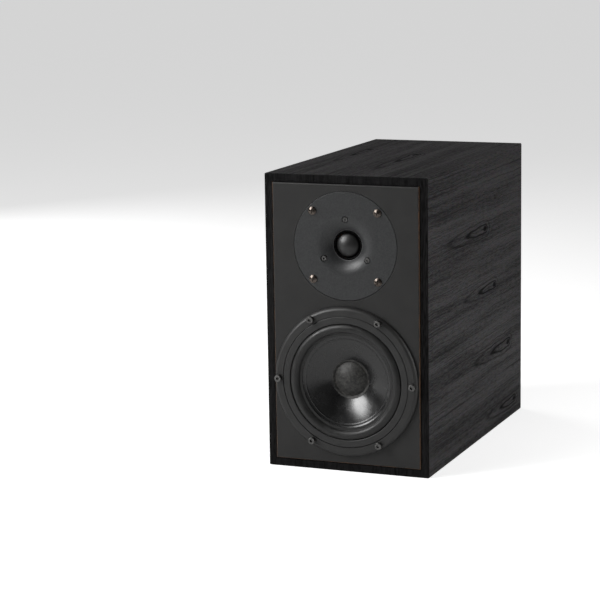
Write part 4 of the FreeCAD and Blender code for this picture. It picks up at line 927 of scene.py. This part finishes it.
class SPEAKER_OT_woofer_cone(bpy.types.Operator):
    """The cone, dust cap and rubber surround"""
    bl_idname = "speaker.woofer_cone"
    bl_label = "Woofer Cone"

    def execute(self, context):
        shape = context.scene.speaker_shape
        centre = on_baffle("woofer_trim_ring")
        bow = shape.cone_curve / MM
        cone = Chain(49.2, -2.0)
        cone.line((46.6, -2.0), (46.2, -1.75), (44.3, -0.95)).bow(43.2, -0.45, 0.28, 6)
        cone.bow(16.3, 13.5, bow, 40).line((16.3, 14.65)).bow(45.8, -0.82, -bow, 24)
        cone.line((49.2, -0.82)).close().soften(0.12, 2)
        publish(cone.spun(centre), "woofer_cone_moulded", "cone_poly", CONE_BODY, ["woofer_cone"])

        bow = shape.cap_curve / MM
        cap = Chain(0, 6.72)
        cap.bow(17.3, 12.5, -bow, 36).line((17.9, 12.2)).bow(20.1, 10.95, -0.35, 6)
        cap.line((20.3, 11.35), (17.0, 12.95)).bow(0, 7.32, bow, 24)
        publish(cap.spun(centre), "woofer_dust_cap_pressed", "cap_cloth", CONE_BODY, ["woofer_dust_cap"])

        rise = shape.roll_height / MM
        rubber = Chain(66.65, -2.78)
        rubber.line((59.25, -2.78)).bow(49.5, -2.78, rise, 40).line((46.85, -2.78), (46.85, -2.05))
        rubber.line((50.3, -2.05)).bow(58.45, -2.05, 0.5 - rise, 32).line((66.65, -2.05))
        rubber.close().soften(0.22)
        roll = publish(rubber.spun(centre), "woofer_surround_roll", "surround_rubber",
                       replaced=["woofer_surround"], ride=False)
        bend_radially(roll)
        return {"FINISHED"}


class SPEAKER_OT_woofer_motor(bpy.types.Operator):
    """Coil, spider, magnet system, tag board and flexible leads"""
    bl_idname = "speaker.woofer_motor"
    bl_label = "Woofer Motor"

    def execute(self, context):
        centre = on_baffle("woofer_trim_ring")
        waves = 7
        wave_height = 1.5
        foot = 23.3
        inner = 16.3
        land = 46.0
        spider = Chain(inner, foot)
        for step in range(1, waves * 2 + 1):
            reach = inner + (land - inner) * step / (waves * 2)
            spider.line((reach, foot - wave_height * (step % 2)))
        spider.line((50.2, foot)).soften(0.75, 4)
        mesh = spider.spun(centre, 128)
        bmesh.ops.solidify(mesh, geom=mesh.faces[:], thickness=0.00045)
        bmesh.ops.recalc_face_normals(mesh, faces=mesh.faces[:])
        disc = publish(mesh, "woofer_spider_corrugated", "spider_cloth",
                       replaced=["woofer_spider"], ride=False)
        bend_radially(disc)
        leads = publish(merged_copy("woofer_tinsel_leads"), "woofer_tinsel_braids", "copper",
                        replaced=["woofer_tinsel_leads"], ride=False)
        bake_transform(leads)
        paint("woofer_coil_former", "woofer_voice_coil", "woofer_top_plate", "woofer_magnet", "woofer_yoke",
              "woofer_tag_board", "woofer_terminals")
        return {"FINISHED"}


class SPEAKER_OT_tweeter(bpy.types.Operator):
    """The tweeter's faceplate, dome, magnet system and screws"""
    bl_idname = "speaker.tweeter"
    bl_label = "Tweeter"

    def execute(self, context):
        centre = on_baffle("tweeter_faceplate")
        dome = Chain(0, 2.72)
        dome.bow(12.88, 9.08, -1.7, 30).line((12.5, 9.1)).bow(0, 3.15, 1.6, 20)
        publish(dome.spun(centre, 128), "tweeter_dome_pressed", "dome_silk", DOME_BODY, ["tweeter_dome"])
        fold = Chain(12.98, 8.8)
        fold.line((12.98, 8.5)).bow(15.9, 8.7, -0.9, 14).line((19.4, 8.7), (19.4, 9.2), (15.7, 9.2))
        fold.bow(12.98, 8.95, 0.7, 12)
        ring = publish(fold.close().spun(centre, 128), "tweeter_surround_fold", "dome_silk",
                       replaced=["tweeter_surround"], ride=False)
        bend_radially(ring)
        self.faceplate(centre)
        paint("tweeter_voice_coil", "tweeter_top_plate", "tweeter_magnet", "tweeter_yoke",
              "tweeter_rear_cup", "tweeter_mounting_screws", "tweeter_assembly_screws", "tweeter_terminals")
        return {"FINISHED"}

    def faceplate(self, centre):
        """The faceplate with its rim and the edge of its throat rounded."""
        mesh = merged_copy("tweeter_faceplate")
        low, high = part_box("tweeter_faceplate")
        rim = (high.x - low.x) / 2
        throat_depth = 0.0085

        def on_circle(edge):
            """True for an edge on the plate's front that follows its rim or its throat."""
            reach = [math.hypot(spot.co.x - centre.x, spot.co.z - centre.z) for spot in edge.verts]
            ahead = max(spot.co.y for spot in edge.verts) < centre.y + throat_depth
            return ahead and any(max(abs(radius - goal) for radius in reach) < 0.0002
                                 for goal in (THROAT_RADIUS, rim))

        ease_edges(mesh, 0.00045, segments=3, sharper_than=30, allowed=on_circle)
        publish(mesh, "tweeter_faceplate_rounded", "tweeter_plate", replaced=["tweeter_faceplate"])


class SPEAKER_OT_rear(bpy.types.Operator):
    """The port, the terminal plate and the binding posts"""
    bl_idname = "speaker.rear"
    bl_label = "Rear Fittings"

    def execute(self, context):
        foam_copy("terminal_gasket")
        for colour in ("black", "red"):
            self.washer(colour)
        paint("port_flange", "port_tube", "terminal_plate", "terminal_plate_screws", "binding_post_stems",
              "binding_post_bushes", "binding_post_nuts", "post_knob_black", "post_knob_red")
        return {"FINISHED"}

    def washer(self, colour):
        """The washer, with a hair's clearance under the knob that turns on it."""
        name = f"post_washer_{colour}"
        mesh = merged_copy(name)
        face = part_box(name)[1].y
        clearance = 0.00005
        for spot in mesh.verts:
            if spot.co.y > face - 2 * clearance:
                spot.co.y -= clearance
        publish(mesh, name + "_turned", SLOT_OF[name], f"washer_{colour}", [name])


class SPEAKER_OT_crossover(bpy.types.Operator):
    """The filter board, its parts and the wiring"""
    bl_idname = "speaker.crossover"
    bl_label = "Crossover"

    def execute(self, context):
        paint("crossover_board", "crossover_pillars", "crossover_screws", "woofer_choke", "tweeter_choke",
              "crossover_capacitors", "crossover_resistors", "input_wires", "woofer_wires", "tweeter_wires")
        return {"FINISHED"}


class SPEAKER_PT_panel(bpy.types.Panel):
    """Lists the speaker's pieces and settings"""
    bl_idname = "SPEAKER_PT_panel"
    bl_label = "Bookshelf Speaker"
    bl_space_type = "VIEW_3D"
    bl_region_type = "UI"
    bl_category = "Speaker"

    def draw(self, context):
        column = self.layout.column()
        for operator in OPERATORS:
            column.operator(operator.bl_idname)
        scene = context.scene
        for settings in (scene.speaker_shape, scene.speaker_finish, scene.speaker_stage):
            box = self.layout.box()
            for name in settings.__annotations__:
                box.prop(settings, name)


OPERATORS = (SPEAKER_OT_stage, SPEAKER_OT_cabinet, SPEAKER_OT_damping, SPEAKER_OT_woofer_frame,
             SPEAKER_OT_woofer_cone, SPEAKER_OT_woofer_motor, SPEAKER_OT_tweeter, SPEAKER_OT_rear,
             SPEAKER_OT_crossover)
CLASSES = (SpeakerShape, SpeakerFinish, SpeakerStage, *OPERATORS, SPEAKER_PT_panel)


def register():
    for item in CLASSES:
        bpy.utils.register_class(item)
    bpy.types.Scene.speaker_shape = PointerProperty(type=SpeakerShape)
    bpy.types.Scene.speaker_finish = PointerProperty(type=SpeakerFinish)
    bpy.types.Scene.speaker_stage = PointerProperty(type=SpeakerStage)


def unregister():
    del bpy.types.Scene.speaker_stage
    del bpy.types.Scene.speaker_finish
    del bpy.types.Scene.speaker_shape
    for item in reversed(CLASSES):
        bpy.utils.unregister_class(item)


def main():
    """Make every piece in order."""
    register()
    bpy.ops.speaker.stage()
    bpy.ops.speaker.cabinet()
    bpy.ops.speaker.damping()
    bpy.ops.speaker.woofer_frame()
    bpy.ops.speaker.woofer_cone()
    bpy.ops.speaker.woofer_motor()
    bpy.ops.speaker.tweeter()
    bpy.ops.speaker.rear()
    bpy.ops.speaker.crossover()


if __name__ == "__main__":
    main()
